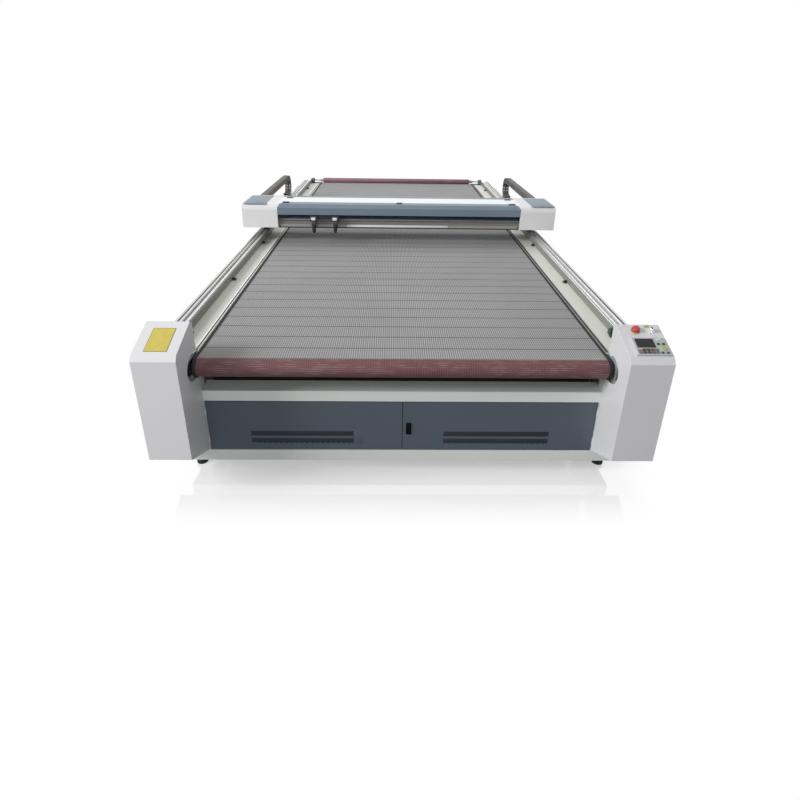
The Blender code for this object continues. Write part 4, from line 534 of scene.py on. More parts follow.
def band_mesh(name, outer, inner, low_x, high_x):
    """A closed band between two paths of equal point counts."""
    work = bmesh.new()
    rings = [[work.verts.new((x, y, z)) for y, z in path]
             for path, x in ((outer, low_x), (outer, high_x), (inner, high_x), (inner, low_x))]
    total = len(outer)
    for index in range(total):
        after = (index + 1) % total
        for first, second in zip(rings, rings[1:] + rings[:1]):
            work.faces.new((first[index], first[after], second[after], second[index]))
    return mesh_of(work, name)


belt_band = band_mesh("mesh_belt_dressed", roller_line(BELT_RADIUS),
                      roller_line(BELT_RADIUS - BELT_THICKNESS), -BELT_HALF, BELT_HALF)
belt = add_piece("mesh_belt_dressed", belt_band, belt_finish(), smooth_angle=30)
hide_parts("mesh_belt")


# Rollers: steel tubes wrapped in red cloth. Two carry the belt, and one presses on it at the far end.
# The press roller turns on tapered grey shafts in blue-grey bearing blocks on the sills.
CLOTH_PITCH = 0.0060
CLOTH_WIDTH = 0.003
CLOTH_DEPTH = 0.0005
CLOTH_GRAIN = 300.0
CLOTH_BANDS = 6.0
CLOTH_STRETCH = (1.0, 0.3, 0.3)
PRESS_HALF = 1.105
PRESS_ROUNDING = (0.003, 0.005)
PRESS_STEPS = 40
SHAFT_STEPS = 24
SHAFT_PROFILE = [(0, 1.1052), (0.024, 1.1052), (0.021, 1.125), (0.0115, 1.165),
                 (0.0078, 1.172), (0.0078, 1.297), (0, 1.297)]
press_low, press_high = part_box("press_roller")
PRESS_RADIUS = (press_high[2] - press_low[2]) / 2
PRESS_PLACE = (Matrix.Translation((0, (press_low[1] + press_high[1]) / 2, (press_low[2] + press_high[2]) / 2))
               @ Matrix.Rotation(UPRIGHT, 4, "Y"))


def add_lathe(work, profile, matrix, steps=32):
    """Adds a turned solid: (radius, height) points turned about the matrix's Z axis."""
    part = bmesh.new()
    rings = []
    for radius, height in profile:
        if radius:
            angles = [2 * math.pi * step / steps for step in range(steps)]
            places = [(radius * math.cos(angle), radius * math.sin(angle), height) for angle in angles]
        else:
            places = [(0, 0, height)]
        rings.append([part.verts.new(place) for place in places])
    for first, second in zip(rings, rings[1:]):
        for step in range(steps):
            after = (step + 1) % steps
            corners = [first[step % len(first)], first[after % len(first)],
                       second[after % len(second)], second[step % len(second)]]
            unique = list(dict.fromkeys(corners))
            if len(unique) > 2:
                part.faces.new(unique)
    part.normal_update()
    bmesh.ops.recalc_face_normals(part, faces=part.faces)
    part.transform(matrix)
    join(work, part)


def lathe(name, profile, matrix, finish, body="machine", steps=32, angle=EDGE_ANGLE):
    work = bmesh.new()
    add_lathe(work, profile, matrix, steps)
    return add_piece(name, mesh_of(work, name), finish, body, angle)


def roller_cloth(name, dark, light):
    made = Finish(name, dark, 0.66)
    made.colour(made.mix(made.noise(CLOTH_BANDS, CLOTH_STRETCH), dark, light))
    made.bump(made.x.line(CLOTH_PITCH, CLOTH_WIDTH, 0.9) + made.noise(CLOTH_GRAIN), CLOTH_DEPTH, 0.6)
    return made


ROLLER_CLOTH = roller_cloth("roller_cloth", (0.190, 0.055, 0.065), (0.300, 0.100, 0.112))
PRESS_CLOTH = roller_cloth("press_cloth", (0.185, 0.085, 0.110), (0.290, 0.150, 0.190))
BEARING_BLUE = paint("bearing_blue", (0.12, 0.16, 0.20), 0.40, 0.10)
GEAR_STEEL = paint("gear_steel", (0.30, 0.31, 0.32), 0.42, 0.12)
SHAFT_GREY = Finish("shaft_grey", (0.26, 0.28, 0.30), 0.35, 0.5)
SHAFT_GREY.rough(SHAFT_GREY.noise(80.0) * 0.15 + 0.28)
repaint(ROLLER_CLOTH, "front_roller", "rear_roller")
repaint(BEARING_BLUE, "left_press_bearing", "right_press_bearing")
repaint(BLACK_COAT, "front_left_bearing", "rear_left_bearing", "rear_right_bearing")
repaint(GEAR_STEEL, "conveyor_gearmotor")

press_profile = [(0, -PRESS_HALF), (PRESS_RADIUS - PRESS_ROUNDING[0], -PRESS_HALF),
                 (PRESS_RADIUS, PRESS_ROUNDING[1] - PRESS_HALF)]
press_profile += [(radius, -height) for radius, height in reversed(press_profile)]
press = lathe("press_roller_dressed", press_profile, PRESS_PLACE, PRESS_CLOTH, "press_roller", PRESS_STEPS,
              SMOOTH_ANGLE)
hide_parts("press_roller")
for side, sign in SIDES.items():
    shaft_profile = [(radius, sign * height) for radius, height in SHAFT_PROFILE]
    lathe(f"{side}_press_shaft", shaft_profile, PRESS_PLACE, SHAFT_GREY, "press_roller", SHAFT_STEPS,
          SMOOTH_ANGLE)


# Edge bands of the belt: black rubber strips sewn along both edges, with low teeth on them.
# They go round both rollers with the belt.
EDGE_INNER = 1.129
EDGE_OUTER = 1.1470
EDGE_HEIGHT = 0.007
EDGE_CLEARANCE = 0.0002
BAND_LEVEL = EDGE_HEIGHT * 0.35
TOOTH_PITCH = 0.024
TOOTH_LENGTH = 0.014
TOOTH_MARGIN = 0.004
TOOTH_HEIGHTS = (-EDGE_HEIGHT * 0.65, 0.0008)
TOOTH_ROUNDING = 0.0012
CORNER_CUT = 0.0001


def span(sign, inner, outer):
    return min(sign * inner, sign * outer), max(sign * inner, sign * outer)


def path_tree():
    """Copies of a piece along a path, half a pitch in from its start, with their Y axes along it."""
    tree, given = begin_tree("pieces_along_a_path", {"Path": "Object", "Pitch": "Float", "Count": "Int"})
    path = add_node(tree, "GeometryNodeObjectInfo", inputs={"Object": given["Path"]})
    number = Value(tree, add_node(tree, "GeometryNodeInputIndex").outputs[0])
    distance = (number + 0.5) * Value(tree, given["Pitch"])
    sample = add_node(tree, "GeometryNodeSampleCurve", {"mode": "LENGTH"},
                      {0: path.outputs["Geometry"], "Length": distance})
    points = add_node(tree, "GeometryNodePoints",
                      inputs={"Count": given["Count"], "Position": sample.outputs["Position"]})
    turn = add_node(tree, "FunctionNodeAxesToRotation", {"primary_axis": "Y", "secondary_axis": "X"},
                    {0: sample.outputs["Tangent"], 1: (1, 0, 0)})
    end_tree(tree, given, points.outputs[0], turn.outputs[0])
    return tree


PATH = path_tree()


def line_length(line):
    return sum((Vector(end) - Vector(start)).length for start, end in zip(line, line[1:]))


def path_object(x, line):
    """A path at this X through (y, z) points. Two cuts beside each corner keep every run straight."""
    points = [Vector(line[0])]
    for start, corner, end in zip(line, line[1:], line[2:]):
        corner = Vector(corner)
        for other, cuts in ((start, (2, 1)), (end, (1, 2))):
            step = (Vector(other) - corner).normalized() * CORNER_CUT
            points += [corner + step * cut for cut in cuts]
    points.append(Vector(line[-1]))
    curve = bpy.data.curves.new("path", "CURVE")
    curve.dimensions = "3D"
    spline = curve.splines.new("POLY")
    spline.points.add(len(points) - 1)
    for made, point in zip(spline.points, points):
        made.co = (x, point.x, point.y, 1)
    return linked("path", curve)


tooth_path = roller_line(BELT_RADIUS + BAND_LEVEL)
tooth_path.append(tooth_path[0])
tooth_count = int(line_length(tooth_path) / TOOTH_PITCH)
for side, sign in SIDES.items():
    low_x, high_x = span(sign, EDGE_INNER, EDGE_OUTER)
    band = band_mesh("band", tooth_path[:-1], roller_line(BELT_RADIUS + EDGE_CLEARANCE), low_x, high_x)
    tooth = [((low_x + TOOTH_MARGIN, -TOOTH_LENGTH / 2, TOOTH_HEIGHTS[0]),
              (high_x - TOOTH_MARGIN, TOOTH_LENGTH / 2, TOOTH_HEIGHTS[1]))]
    teeth = grow(f"{side}_belt_edge", PATH, band, Path=path_object(0, tooth_path),
                 Piece=linked("tooth", box_mesh("tooth", tooth, TOOTH_ROUNDING)),
                 Pitch=line_length(tooth_path) / tooth_count, Count=tooth_count, Finish=RUBBER.material)
    add_piece(f"{side}_belt_edge", teeth, RUBBER)


# Guide beams: aluminium extrusions along both sills, with a bright linear rail bolted on each.
# Beside them lie the sill's trim strips, an angle strip with black clips, and one green connector.
# Some finishes here are painted light: the left rail is a whiter copy of the right one, a painted highlight;
# the edge strip and the apron's ridge are lit and shaded copies, bright on one side and dark painted shade
# on the other; and the white lip at each sill's inner edge is a painted highlight.
SILL_TOP = 0.810
TRIM_GAP = 0.0002
STRIP_FRONT = -2.600
STRIP_REAR = 2.790
BEAM_FRONT, BEAM_REAR = (corner[1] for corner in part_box("left_guide_beam"))
APRON_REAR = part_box("left_press_bearing")[0][1] - 0.004
APRON_OUTLINE = [(1.2955, 0.8102), (1.2955, 0.8580), (1.2935, 0.8600), (1.2860, 0.8600), (1.2840, 0.8580),
                 (1.2840, 0.8102)]
# Each strip: its X span, Y span, Z span, rounding and slot.
STRIPS = {
    "edge_strip": (1.1510, 1.1575, STRIP_FRONT, STRIP_REAR, 0.8162, 0.8200, 0.0015, "steel"),
    "strip_seam": (1.1590, 1.1690, STRIP_FRONT, STRIP_REAR, 0.8102, 0.8175, 0.0006, "black_rubber"),
    "beam_seal": (1.3580, 1.3650, BEAM_FRONT, BEAM_REAR, 0.8651, 0.8680, 0.0015, "black_rubber"),
    # The flange lip is a painted highlight: whiter than the sill coat where light falls on the sill's inner
    # edge.
    "flange_lip": (1.1700, 1.1840, BEAM_FRONT, STRIP_REAR, 0.8102, 0.8112, 0.0002, "white_paint"),
    "apron_ridge": (1.2870, 1.2950, BEAM_FRONT, APRON_REAR, 0.8602, 0.8630, 0.0012, "steel"),
}
RAIL_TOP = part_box("left_linear_rail")[1][2]
RAIL_X = 1.3135
BOLT_PITCH = 0.060
BOLT_COUNT = int((BEAM_REAR - BEAM_FRONT) / BOLT_PITCH)
BOLT_STEPS = 10
BOLT_PROFILE = [(0, 0.0022), (0.0038, 0.0022), (0.0045, 0.0012), (0.0045, -0.001), (0, -0.001)]
CLIP_PLACES = (-2.385, -1.445, -0.445, 0.555, 1.555, 2.330)
CLIP_FOOT = (1.2545, 1.2835, 0.016, TRIM_GAP, 0.012, 0.004)
CLIP_HEAD = (1.2610, 1.2825, 0.009, 0.010, 0.022, 0.005)
CONNECTOR_BOXES = [((1.262, -2.372, 0.8105), (1.2835, -2.330, 0.8420)),
                   ((1.266, -2.366, 0.8420), (1.2820, -2.345, 0.8560))]
CONNECTOR_ROUNDING = 0.002


def drawn_metal(name, colour, roughness, along, streak_share=0.18, metallic=1.0):
    """Metal with streaks along one axis."""
    made = Finish(name, colour, roughness, metallic)
    stretch = tuple(0.02 if axis == along else 1.0 for axis in "XYZ")
    fine = made.noise(420.0, stretch, detail=2.0)
    broad = made.noise(9.0, stretch)
    made.colour(made.mix(broad, tint(colour, 1 - streak_share), tint(colour, 1 + streak_share / 2)))
    made.rough(fine * 0.22 + (roughness - 0.10))
    made.bump(fine, 0.00006, 0.4)
    return made


def plastic(name, colour, roughness=0.45):
    """Moulded plastic with a fine grain and slightly uneven gloss."""
    made = Finish(name, colour, roughness)
    made.bump(made.noise(500.0, detail=1.0), 0.00015, 0.5)
    made.rough(made.noise(30.0) * 0.14 + (roughness - 0.07))
    return made


AXIS_TURNS = {
    "Y": Matrix(((1, 0, 0), (0, 0, -1), (0, 1, 0))).to_4x4(),
    "Z": Matrix.Identity(4),
}


def add_prism(work, outline, axis, start, end, rounding=0.0):
    """Adds an outline extruded along an axis. Points are (x, z) along Y, or (x, y) along Z."""
    part = bmesh.new()
    sign = -1 if axis == "Y" else 1
    near = [part.verts.new((across, up, sign * start)) for across, up in outline]
    face = part.faces.new(near)
    grown = bmesh.ops.extrude_face_region(part, geom=[face])
    moved = [item for item in grown["geom"] if isinstance(item, bmesh.types.BMVert)]
    bmesh.ops.translate(part, verts=moved, vec=(0, 0, sign * (end - start)))
    part.normal_update()
    bmesh.ops.recalc_face_normals(part, faces=part.faces)
    round_edges(part, rounding)
    part.transform(AXIS_TURNS[axis])
    join(work, part)


def prism(name, outline, axis, start, end, finish, body="machine", rounding=0.0):
    work = bmesh.new()
    add_prism(work, outline, axis, start, end, rounding)
    return add_piece(name, mesh_of(work, name), finish, body, 30)


EXTRUSION = drawn_metal("extrusion", (0.70, 0.70, 0.68), 0.34, "Y", metallic=0.6)
APRON_METAL = drawn_metal("apron_metal", (0.26, 0.26, 0.24), 0.50, "Y", metallic=0.2)
BRIGHT_STEEL = drawn_metal("bright_steel", (0.86, 0.87, 0.88), 0.28, "Y", 0.08, 0.4)
# The left rail's finish is a whiter copy of the right rail's steel: a painted highlight.
LEFT_RAIL_PAINTED_HIGHLIGHT = drawn_metal("left_rail_painted_highlight", (0.95, 0.96, 0.97), 0.30, "Y", 0.04, 0.15)
STRIP_WHITE = paint("strip_coat", (0.96, 0.98, 1.00), 0.22, 0.02)
# This dark finish is painted shade on the right edge strip, and the e-stop skirt's own colour.
SKIRT_DARK_AND_PAINTED_SHADE = paint("skirt_dark_and_painted_shade", (0.05, 0.055, 0.06), 0.50, 0.25)
SEAL_BLACK = plastic("seal_black", (0.020, 0.021, 0.022), 0.55)
CLIP_BLACK = plastic("clip_black", (0.015, 0.016, 0.016), 0.40)
CONNECTOR_GREEN = plastic("connector_green", (0.030, 0.070, 0.045), 0.5)
repaint(EXTRUSION, "left_guide_beam", "right_guide_beam")
repaint(LEFT_RAIL_PAINTED_HIGHLIGHT, "left_linear_rail")
repaint(BRIGHT_STEEL, "right_linear_rail")

# Per side these are lit and shaded copies: the edge strip is bright on the left and dark painted shade on the
# right, and the apron ridge is dark painted shade on the left and bright steel on the right.
STRIP_FINISHES = {
    "left": (EXTRUSION, SEAL_BLACK, SEAL_BLACK, STRIP_WHITE, APRON_METAL),
    "right": (SKIRT_DARK_AND_PAINTED_SHADE, SEAL_BLACK, SEAL_BLACK, STRIP_WHITE, BRIGHT_STEEL),
}
for side, sign in SIDES.items():
    for finish, (name, strip) in zip(STRIP_FINISHES[side], STRIPS.items()):
        inner, outer, front, rear, low_z, high_z, rounding, slot = strip
        low_x, high_x = span(sign, inner, outer)
        boxes(f"{side}_{name}", [((low_x, front, low_z), (high_x, rear, high_z))], finish, rounding=rounding)
    prism(f"{side}_beam_apron", [(sign * x, z) for x, z in APRON_OUTLINE], "Y", BEAM_FRONT, APRON_REAR,
          APRON_METAL)

    work = bmesh.new()
    add_lathe(work, BOLT_PROFILE, Matrix.Identity(4), BOLT_STEPS)
    bolts = grow(f"{side}_rail_bolts", ROW, Piece=linked("bolt", mesh_of(work, "bolt")), Count=BOLT_COUNT,
                 Start=(sign * RAIL_X, BEAM_FRONT + BOLT_PITCH / 2, RAIL_TOP), Step=(0.0, BOLT_PITCH, 0.0),
                 Finish=BRIGHT_STEEL.material)
    add_piece(f"{side}_rail_bolts", bolts, BRIGHT_STEEL, smooth_angle=SMOOTH_ANGLE)

    work = bmesh.new()
    for y in CLIP_PLACES:
        for inner, outer, half, foot, top, rounding in (CLIP_FOOT, CLIP_HEAD):
            low_x, high_x = span(sign, inner, outer)
            add_box(work, (low_x, y - half, SILL_TOP + foot), (high_x, y + half, SILL_TOP + top), rounding)
    add_piece(f"{side}_sill_clips", mesh_of(work, f"{side}_sill_clips"), CLIP_BLACK, smooth_angle=SMOOTH_ANGLE)
boxes("beam_connector", CONNECTOR_BOXES, CONNECTOR_GREEN, rounding=CONNECTOR_ROUNDING)


# Front pods: folded sheet covers in white powder coat over the beams' front ends.
# A plain yellow label is glued on the left one's slope. The right pod's coat is a darker copy of the left one's
# white: painted shade.
POD_ROUNDING = 0.0018
BEND_ANGLE = 30
SLOPE_FOOT = (-2.893, 0.943)
SLOPE_ANGLE = math.atan2(0.082, 0.221)
SLOPE_LIFT = 0.0001
SLOPE_ROUNDING = 0.0002
LABEL_BACK = (-1.319, 0.020, 0.119, 0.166, 0.0008)
LABEL_FRONT = (-1.316, 0.023, 0.113, 0.160, 0.0012)


def softened(node, finish, width, body="machine"):
    """Stands in for a CAD node: the same shape with its sharp edges rounded."""
    mesh = NODES[node].data.copy()
    work = bmesh.new()
    work.from_mesh(mesh)
    bmesh.ops.remove_doubles(work, verts=work.verts, dist=1e-6)
    bmesh.ops.dissolve_limit(work, angle_limit=math.radians(0.5), verts=work.verts, edges=work.edges)
    work.to_mesh(mesh)
    work.free()
    mesh.materials.clear()
    made = add_piece(f"{node}_dressed", mesh, finish, body, BEND_ANGLE)
    rounding = made.modifiers.new("rounding", "BEVEL")
    rounding.width = width
    rounding.segments = 2
    rounding.limit_method = "ANGLE"
    rounding.angle_limit = math.radians(BEND_ANGLE)
    rounding.harden_normals = True
    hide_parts(node)


def on_slope(x, up):
    """A frame on the pods' slopes: X right, Y up the slope, Z out of it."""
    return (Matrix.Translation((x, *SLOPE_FOOT)) @ Matrix.Rotation(SLOPE_ANGLE, 4, "X")
            @ Matrix.Translation((0, up, 0)))


def rounded_rectangle(low_x, low_y, high_x, high_y, radius):
    left, right, low, high = low_x + radius, high_x - radius, low_y + radius, high_y - radius
    corners = enumerate(((right, high), (left, high), (left, low), (right, low)))
    return [point for turn, corner in corners for point in arc(corner, radius, 90 * turn, 90 * turn + 90, 4)]


def slope_plate(name, x, up, width, length, thickness, finish, radius, out=0.0, slot=None):
    work = bmesh.new()
    outline = rounded_rectangle(0, 0, width, length, radius)
    add_prism(work, outline, "Z", out + SLOPE_LIFT, out + thickness, SLOPE_ROUNDING)
    mesh = mesh_of(work, name)
    mesh.transform(on_slope(x, up))
    add_piece(name, mesh, finish, "machine", 15)


POD_FINISHES = {
    "left": paint("white_coat", (0.755, 0.755, 0.775), 0.38, 0.03),
    # The right pod's coat is a darker copy of the white coat: painted shade.
    "right": paint("right_pod_painted_shade_coat", (0.700, 0.700, 0.718), 0.38),
}
LABEL_YELLOW = Finish("label_yellow", (0.62, 0.50, 0.09), 0.45)
LABEL_YELLOW.colour(LABEL_YELLOW.mix(LABEL_YELLOW.noise(30.0), (0.56, 0.45, 0.08), (0.70, 0.57, 0.13)))
LABEL_EDGE = Finish("label_edge", (0.20, 0.16, 0.05), 0.5)
LABEL_EDGE.bump(LABEL_EDGE.noise(200.0), 0.0001, 0.3)
for side in SIDES:
    softened(f"{side}_pod", POD_FINISHES[side], POD_ROUNDING)
slope_plate("label_plate", *LABEL_BACK, LABEL_EDGE, 0.003, slot="yellow_plastic")
slope_plate("label_face", *LABEL_FRONT, LABEL_YELLOW, 0.002, slot="yellow_plastic")


# Controller on the right pod: a grey plastic panel with a dark screen, plain keys and a round arrow pad.
# Above it sit a red emergency stop in an orange collar and a chromed key switch.
PANEL_LIFT = 0.0032
SCREEN_LIFT = 0.0042
KEY_LIFT = 0.0074
KEY_THICKNESS = 0.0045
KEY_ROUNDING = 0.0030
PAD_PLACE = (1.336, 0.058)
PAD_PROFILE = [(0, 0.0112), (0.010, 0.0112), (0.0165, 0.0100), (0.0180, 0.0076), (0, 0.0076)]
KNOB_PLACE = (1.317, 0.185)
KNOB_PROFILE = [(0.0095, 0.0125), (0.0115, 0.0140), (0.0115, 0.0230), (0.0100, 0.0250), (0.0095, 0.0250),
                (0.0095, 0.0125)]
STOP_PLACE = (1.234, 0.190)
COLLAR_PROFILE = [(0.0116, 0.0003), (0.0245, 0.0003), (0.0245, 0.0020), (0.0237, 0.0026), (0.0116, 0.0026),
                  (0.0116, 0.0003)]
SKIRT_PROFILE = [(0.0190, 0.0135), (0.0200, 0.0120), (0.0185, 0.0100), (0.0115, 0.0090), (0.0113, 0.0105),
                 (0.0185, 0.0132)]

PANEL_GREY = plastic("panel_grey", (0.46, 0.48, 0.48), 0.40)
PANEL_WHITE = plastic("panel_white", (0.74, 0.75, 0.75), 0.40)
KEY_DARK = plastic("key_dark", (0.030, 0.034, 0.038), 0.35)
KEY_RED = plastic("key_red", (0.24, 0.13, 0.14), 0.35)
KEY_TEAL = plastic("key_teal", (0.06, 0.16, 0.19), 0.35)
KEY_BROWN = plastic("key_brown", (0.15, 0.07, 0.05), 0.35)
PAD_GREEN = plastic("pad_green", (0.42, 0.44, 0.16), 0.40)
TAG_GREEN = plastic("tag_green", (0.38, 0.40, 0.06), 0.45)
COLLAR_ORANGE = plastic("collar_orange", (0.60, 0.27, 0.10), 0.42)
RED_PLASTIC = Finish("red_plastic", (0.50, 0.020, 0.022), 0.26, Coat_Weight=0.4)
RED_PLASTIC.bump(RED_PLASTIC.noise(300.0), 0.0001, 0.4)
CHROME = Finish("chrome", (0.80, 0.80, 0.82), 0.10, 1.0)
CHROME.rough(CHROME.noise(60.0) * 0.10 + 0.05)
SCREEN = Finish("screen_glass", (0.022, 0.027, 0.032), 0.35, Specular_IOR_Level=0.12)
SCREEN.colour(SCREEN.mix(SCREEN.noise(12.0), (0.024, 0.026, 0.030), (0.042, 0.048, 0.046)))
repaint(RED_PLASTIC, "e_stop_button")
repaint(CHROME, "key_switch_body", "switch_key")

# Each key: where it stands across and up the slope, its width and length, and its finish.
KEYS = [
    (1.1985, 0.0220, 0.019, 0.024, KEY_RED),
    (1.2215, 0.040, 0.017, 0.013, KEY_DARK), (1.2215, 0.022, 0.017, 0.013, KEY_DARK),
    (1.2440, 0.040, 0.017, 0.013, KEY_DARK), (1.2440, 0.022, 0.017, 0.013, KEY_DARK),
    (1.2660, 0.040, 0.017, 0.013, KEY_BROWN), (1.2660, 0.022, 0.017, 0.013, KEY_BROWN),
    (1.2880, 0.040, 0.015, 0.013, KEY_TEAL), (1.2880, 0.022, 0.015, 0.013, KEY_TEAL),
    (1.3110, 0.081, 0.013, 0.012, KEY_DARK), (1.3380, 0.081, 0.013, 0.012, KEY_DARK),
    (1.3130, 0.022, 0.013, 0.010, KEY_DARK), (1.3400, 0.022, 0.013, 0.010, KEY_DARK),
    (1.3160, 0.113, 0.024, 0.010, PANEL_WHITE),
]
slope_plate("panel_face", 1.182, 0.010, 0.183, 0.121, 0.0042, PANEL_GREY, 0.006, PANEL_LIFT, "panel_grey")
slope_plate("panel_side_strip", 1.1825, 0.012, 0.010, 0.117, 0.0052, PANEL_WHITE, 0.002, SCREEN_LIFT,
            "panel_grey")
slope_plate("screen", 1.203, 0.063, 0.095, 0.060, 0.0060, SCREEN, 0.002, SCREEN_LIFT, "black_rubber")
slope_plate("key_switch_tag", 1.292, 0.214, 0.026, 0.017, 0.0012, TAG_GREEN, 0.004, slot="yellow_plastic")
for number, (x, up, width, length, finish) in enumerate(KEYS):
    slope_plate(f"panel_key_{number}", x, up, width, length, KEY_THICKNESS, finish, KEY_ROUNDING, KEY_LIFT,
                "panel_grey")
lathe("arrow_pad", PAD_PROFILE, on_slope(*PAD_PLACE), PAD_GREEN)
lathe("key_knob", KNOB_PROFILE, on_slope(*KNOB_PLACE), CHROME, "key")
stop_collar = lathe("e_stop_collar_dressed", COLLAR_PROFILE, on_slope(*STOP_PLACE), COLLAR_ORANGE)
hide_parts("e_stop_collar")
lathe("stop_skirt", SKIRT_PROFILE, on_slope(*STOP_PLACE), SKIRT_DARK_AND_PAINTED_SHADE, "e_stop")


# Gantry: an aluminium bridge under folded covers in blue-grey, with a white strip along their top.
# White folded housings close its ends. Black clips hold the covers, and a white cover lies on the rail.
# A dark blue-grey sheet on the bridge under the covers is painted shade for the recess there, and a black strip
# along the bridge's lower front edge is painted shade for the dark gap under the rail.
HOUSING_WHITE = paint("housing_coat", (0.80, 0.80, 0.815), 0.36, 0.03)
COVER_BLUE = paint("cover_coat", (0.170, 0.225, 0.280), 0.36)
RECESS_PAINTED_SHADE = paint("recess_painted_shade", (0.19, 0.23, 0.28), 0.5, 0.05)
BRIDGE_METAL = drawn_metal("bridge_metal", (0.22, 0.205, 0.19), 0.50, "X", metallic=0.3)
RAIL_GREY = drawn_metal("rail_grey", (0.34, 0.33, 0.31), 0.45, "X", metallic=0.3)
TUBE_GLASS = Finish("tube_glass", (0.92, 0.96, 0.98), 0.04, Transmission_Weight=0.9, IOR=1.47)
TUBE_GLASS.bump(TUBE_GLASS.noise(40.0), 0.0002, 0.2)
repaint(COVER_BLUE, "front_cover", "rear_cover")
repaint(STRIP_WHITE, "top_strip")
repaint(BRIDGE_METAL, "gantry_beam")
repaint(RAIL_GREY, "head_rail")
repaint(TUBE_GLASS, "laser_tube")
repaint(BLACK_COAT, "left_carriage", "right_carriage", "head_drive_motor")

COVER_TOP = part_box("front_cover")[1][2]
INSET_SPAN = (1.236, 1.449)
INSET_DEPTHS = (-0.392, -0.010)
INSET_CORNER = 0.006
INSET_HALF_THICKNESS = 0.0006
INSET_ROUNDING = 0.0003
CLIP_HALF_DEPTH = 0.012
CLIP_HEIGHT = 0.007
CLIP_ROUNDING = 0.003
COVER_CLIP_SPAN = (1.035, 1.095)
COVER_CLIP_PLACES = (-0.314, -0.098)
MIDDLE_CLIP_HALF = 0.028
BRIDGE_HALF = 1.130
BRIDGE_LOW, BRIDGE_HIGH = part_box("gantry_beam")
BRIDGE_SKIN = BRIDGE_LOW[1] - 0.0003
SHEET_FACE = BRIDGE_LOW[1] - 0.0022
SHEET_TOP = BRIDGE_HIGH[2] + 0.002
SHEET_BOXES = [
    ((-BRIDGE_HALF, SHEET_FACE, BRIDGE_HIGH[2] - 0.009), (BRIDGE_HALF, BRIDGE_SKIN, SHEET_TOP)),
    ((-BRIDGE_HALF, SHEET_FACE, BRIDGE_HIGH[2] + 0.0003), (BRIDGE_HALF, BRIDGE_LOW[1] + 0.165, SHEET_TOP)),
]
FOOT_SHADE_STRIP_BOX = ((-BRIDGE_HALF, BRIDGE_LOW[1] - 0.0025, BRIDGE_LOW[2] + 0.0005),
                  (BRIDGE_HALF, BRIDGE_SKIN, BRIDGE_LOW[2] + 0.0132))
RAIL_LOW, RAIL_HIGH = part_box("head_rail")
RAIL_COVER_BOX = ((-0.495, RAIL_LOW[1] - 0.0030, RAIL_LOW[2] + 0.002),
                  (0.459, RAIL_LOW[1] - 0.0003, RAIL_HIGH[2] - 0.001))
CORNER_BACK = 0.0002
CORNER_FRONT = 0.0010
# Each patch: its outline, its place and its lean, on the cover's crown and on the chamfer below it.
CORNER_PATCHES = [
    ([(1.1340, 0.0765), (1.1340, 0), (1.1190, 0), (1.1080, 0.030), (1.0960, 0.058), (1.0840, 0.0765)],
     (0, -0.372, COVER_TOP - 0.004), math.atan2(0.004, 0.077)),
    ([(1.1340, 0.0410), (1.1340, 0.004), (1.1280, 0.020), (1.1190, 0.0410)],
     (0, -0.401, COVER_TOP - 0.034), math.atan2(0.030, 0.029)),
]


def clip_box(low_x, high_x, y):
    return ((low_x, y - CLIP_HALF_DEPTH, COVER_TOP + PLATE_BACK),
            (high_x, y + CLIP_HALF_DEPTH, COVER_TOP + CLIP_HEIGHT))


for side, sign in SIDES.items():
    softened(f"{side}_end_housing", HOUSING_WHITE, POD_ROUNDING, "gantry")

    low_x, high_x = span(sign, *INSET_SPAN)
    work = bmesh.new()
    add_prism(work, rounded_rectangle(low_x, INSET_DEPTHS[0], high_x, INSET_DEPTHS[1], INSET_CORNER), "Z",
              COVER_TOP - INSET_HALF_THICKNESS, COVER_TOP + INSET_HALF_THICKNESS, INSET_ROUNDING)
    add_piece(f"{side}_top_inset", mesh_of(work, f"{side}_top_inset"), COVER_BLUE, "gantry", SMOOTH_ANGLE)

    clips = [clip_box(*span(sign, *COVER_CLIP_SPAN), y) for y in COVER_CLIP_PLACES]
    boxes(f"{side}_cover_clips", clips, CLIP_BLACK, "gantry", CLIP_ROUNDING)

    work = bmesh.new()
    for outline, place, lean in CORNER_PATCHES:
        patch = bmesh.new()
        add_prism(patch, [(sign * x, up) for x, up in outline], "Z", CORNER_BACK, CORNER_FRONT)
        patch.transform(Matrix.Translation(place) @ Matrix.Rotation(lean, 4, "X"))
        join(work, patch)
    add_piece(f"{side}_cover_corner", mesh_of(work, f"{side}_cover_corner"), STRIP_WHITE, "gantry", 15)
middle_clip = clip_box(-MIDDLE_CLIP_HALF, MIDDLE_CLIP_HALF, COVER_CLIP_PLACES[0])
boxes("middle_cover_clip", [middle_clip], CLIP_BLACK, "gantry", CLIP_ROUNDING)
# The bridge sheet is painted shade: dark blue-grey where the recess under the covers lies in shade.
boxes("bridge_top_sheet", SHEET_BOXES, RECESS_PAINTED_SHADE, "gantry", 0.0003)
# The foot strip is painted shade: black where the gap under the rail is dark.
boxes("bridge_foot_strip", [FOOT_SHADE_STRIP_BOX], BLACK_COAT, "gantry", 0.0005)
boxes("rail_cover", [RAIL_COVER_BOX], PANEL_WHITE, "gantry", 0.0008)


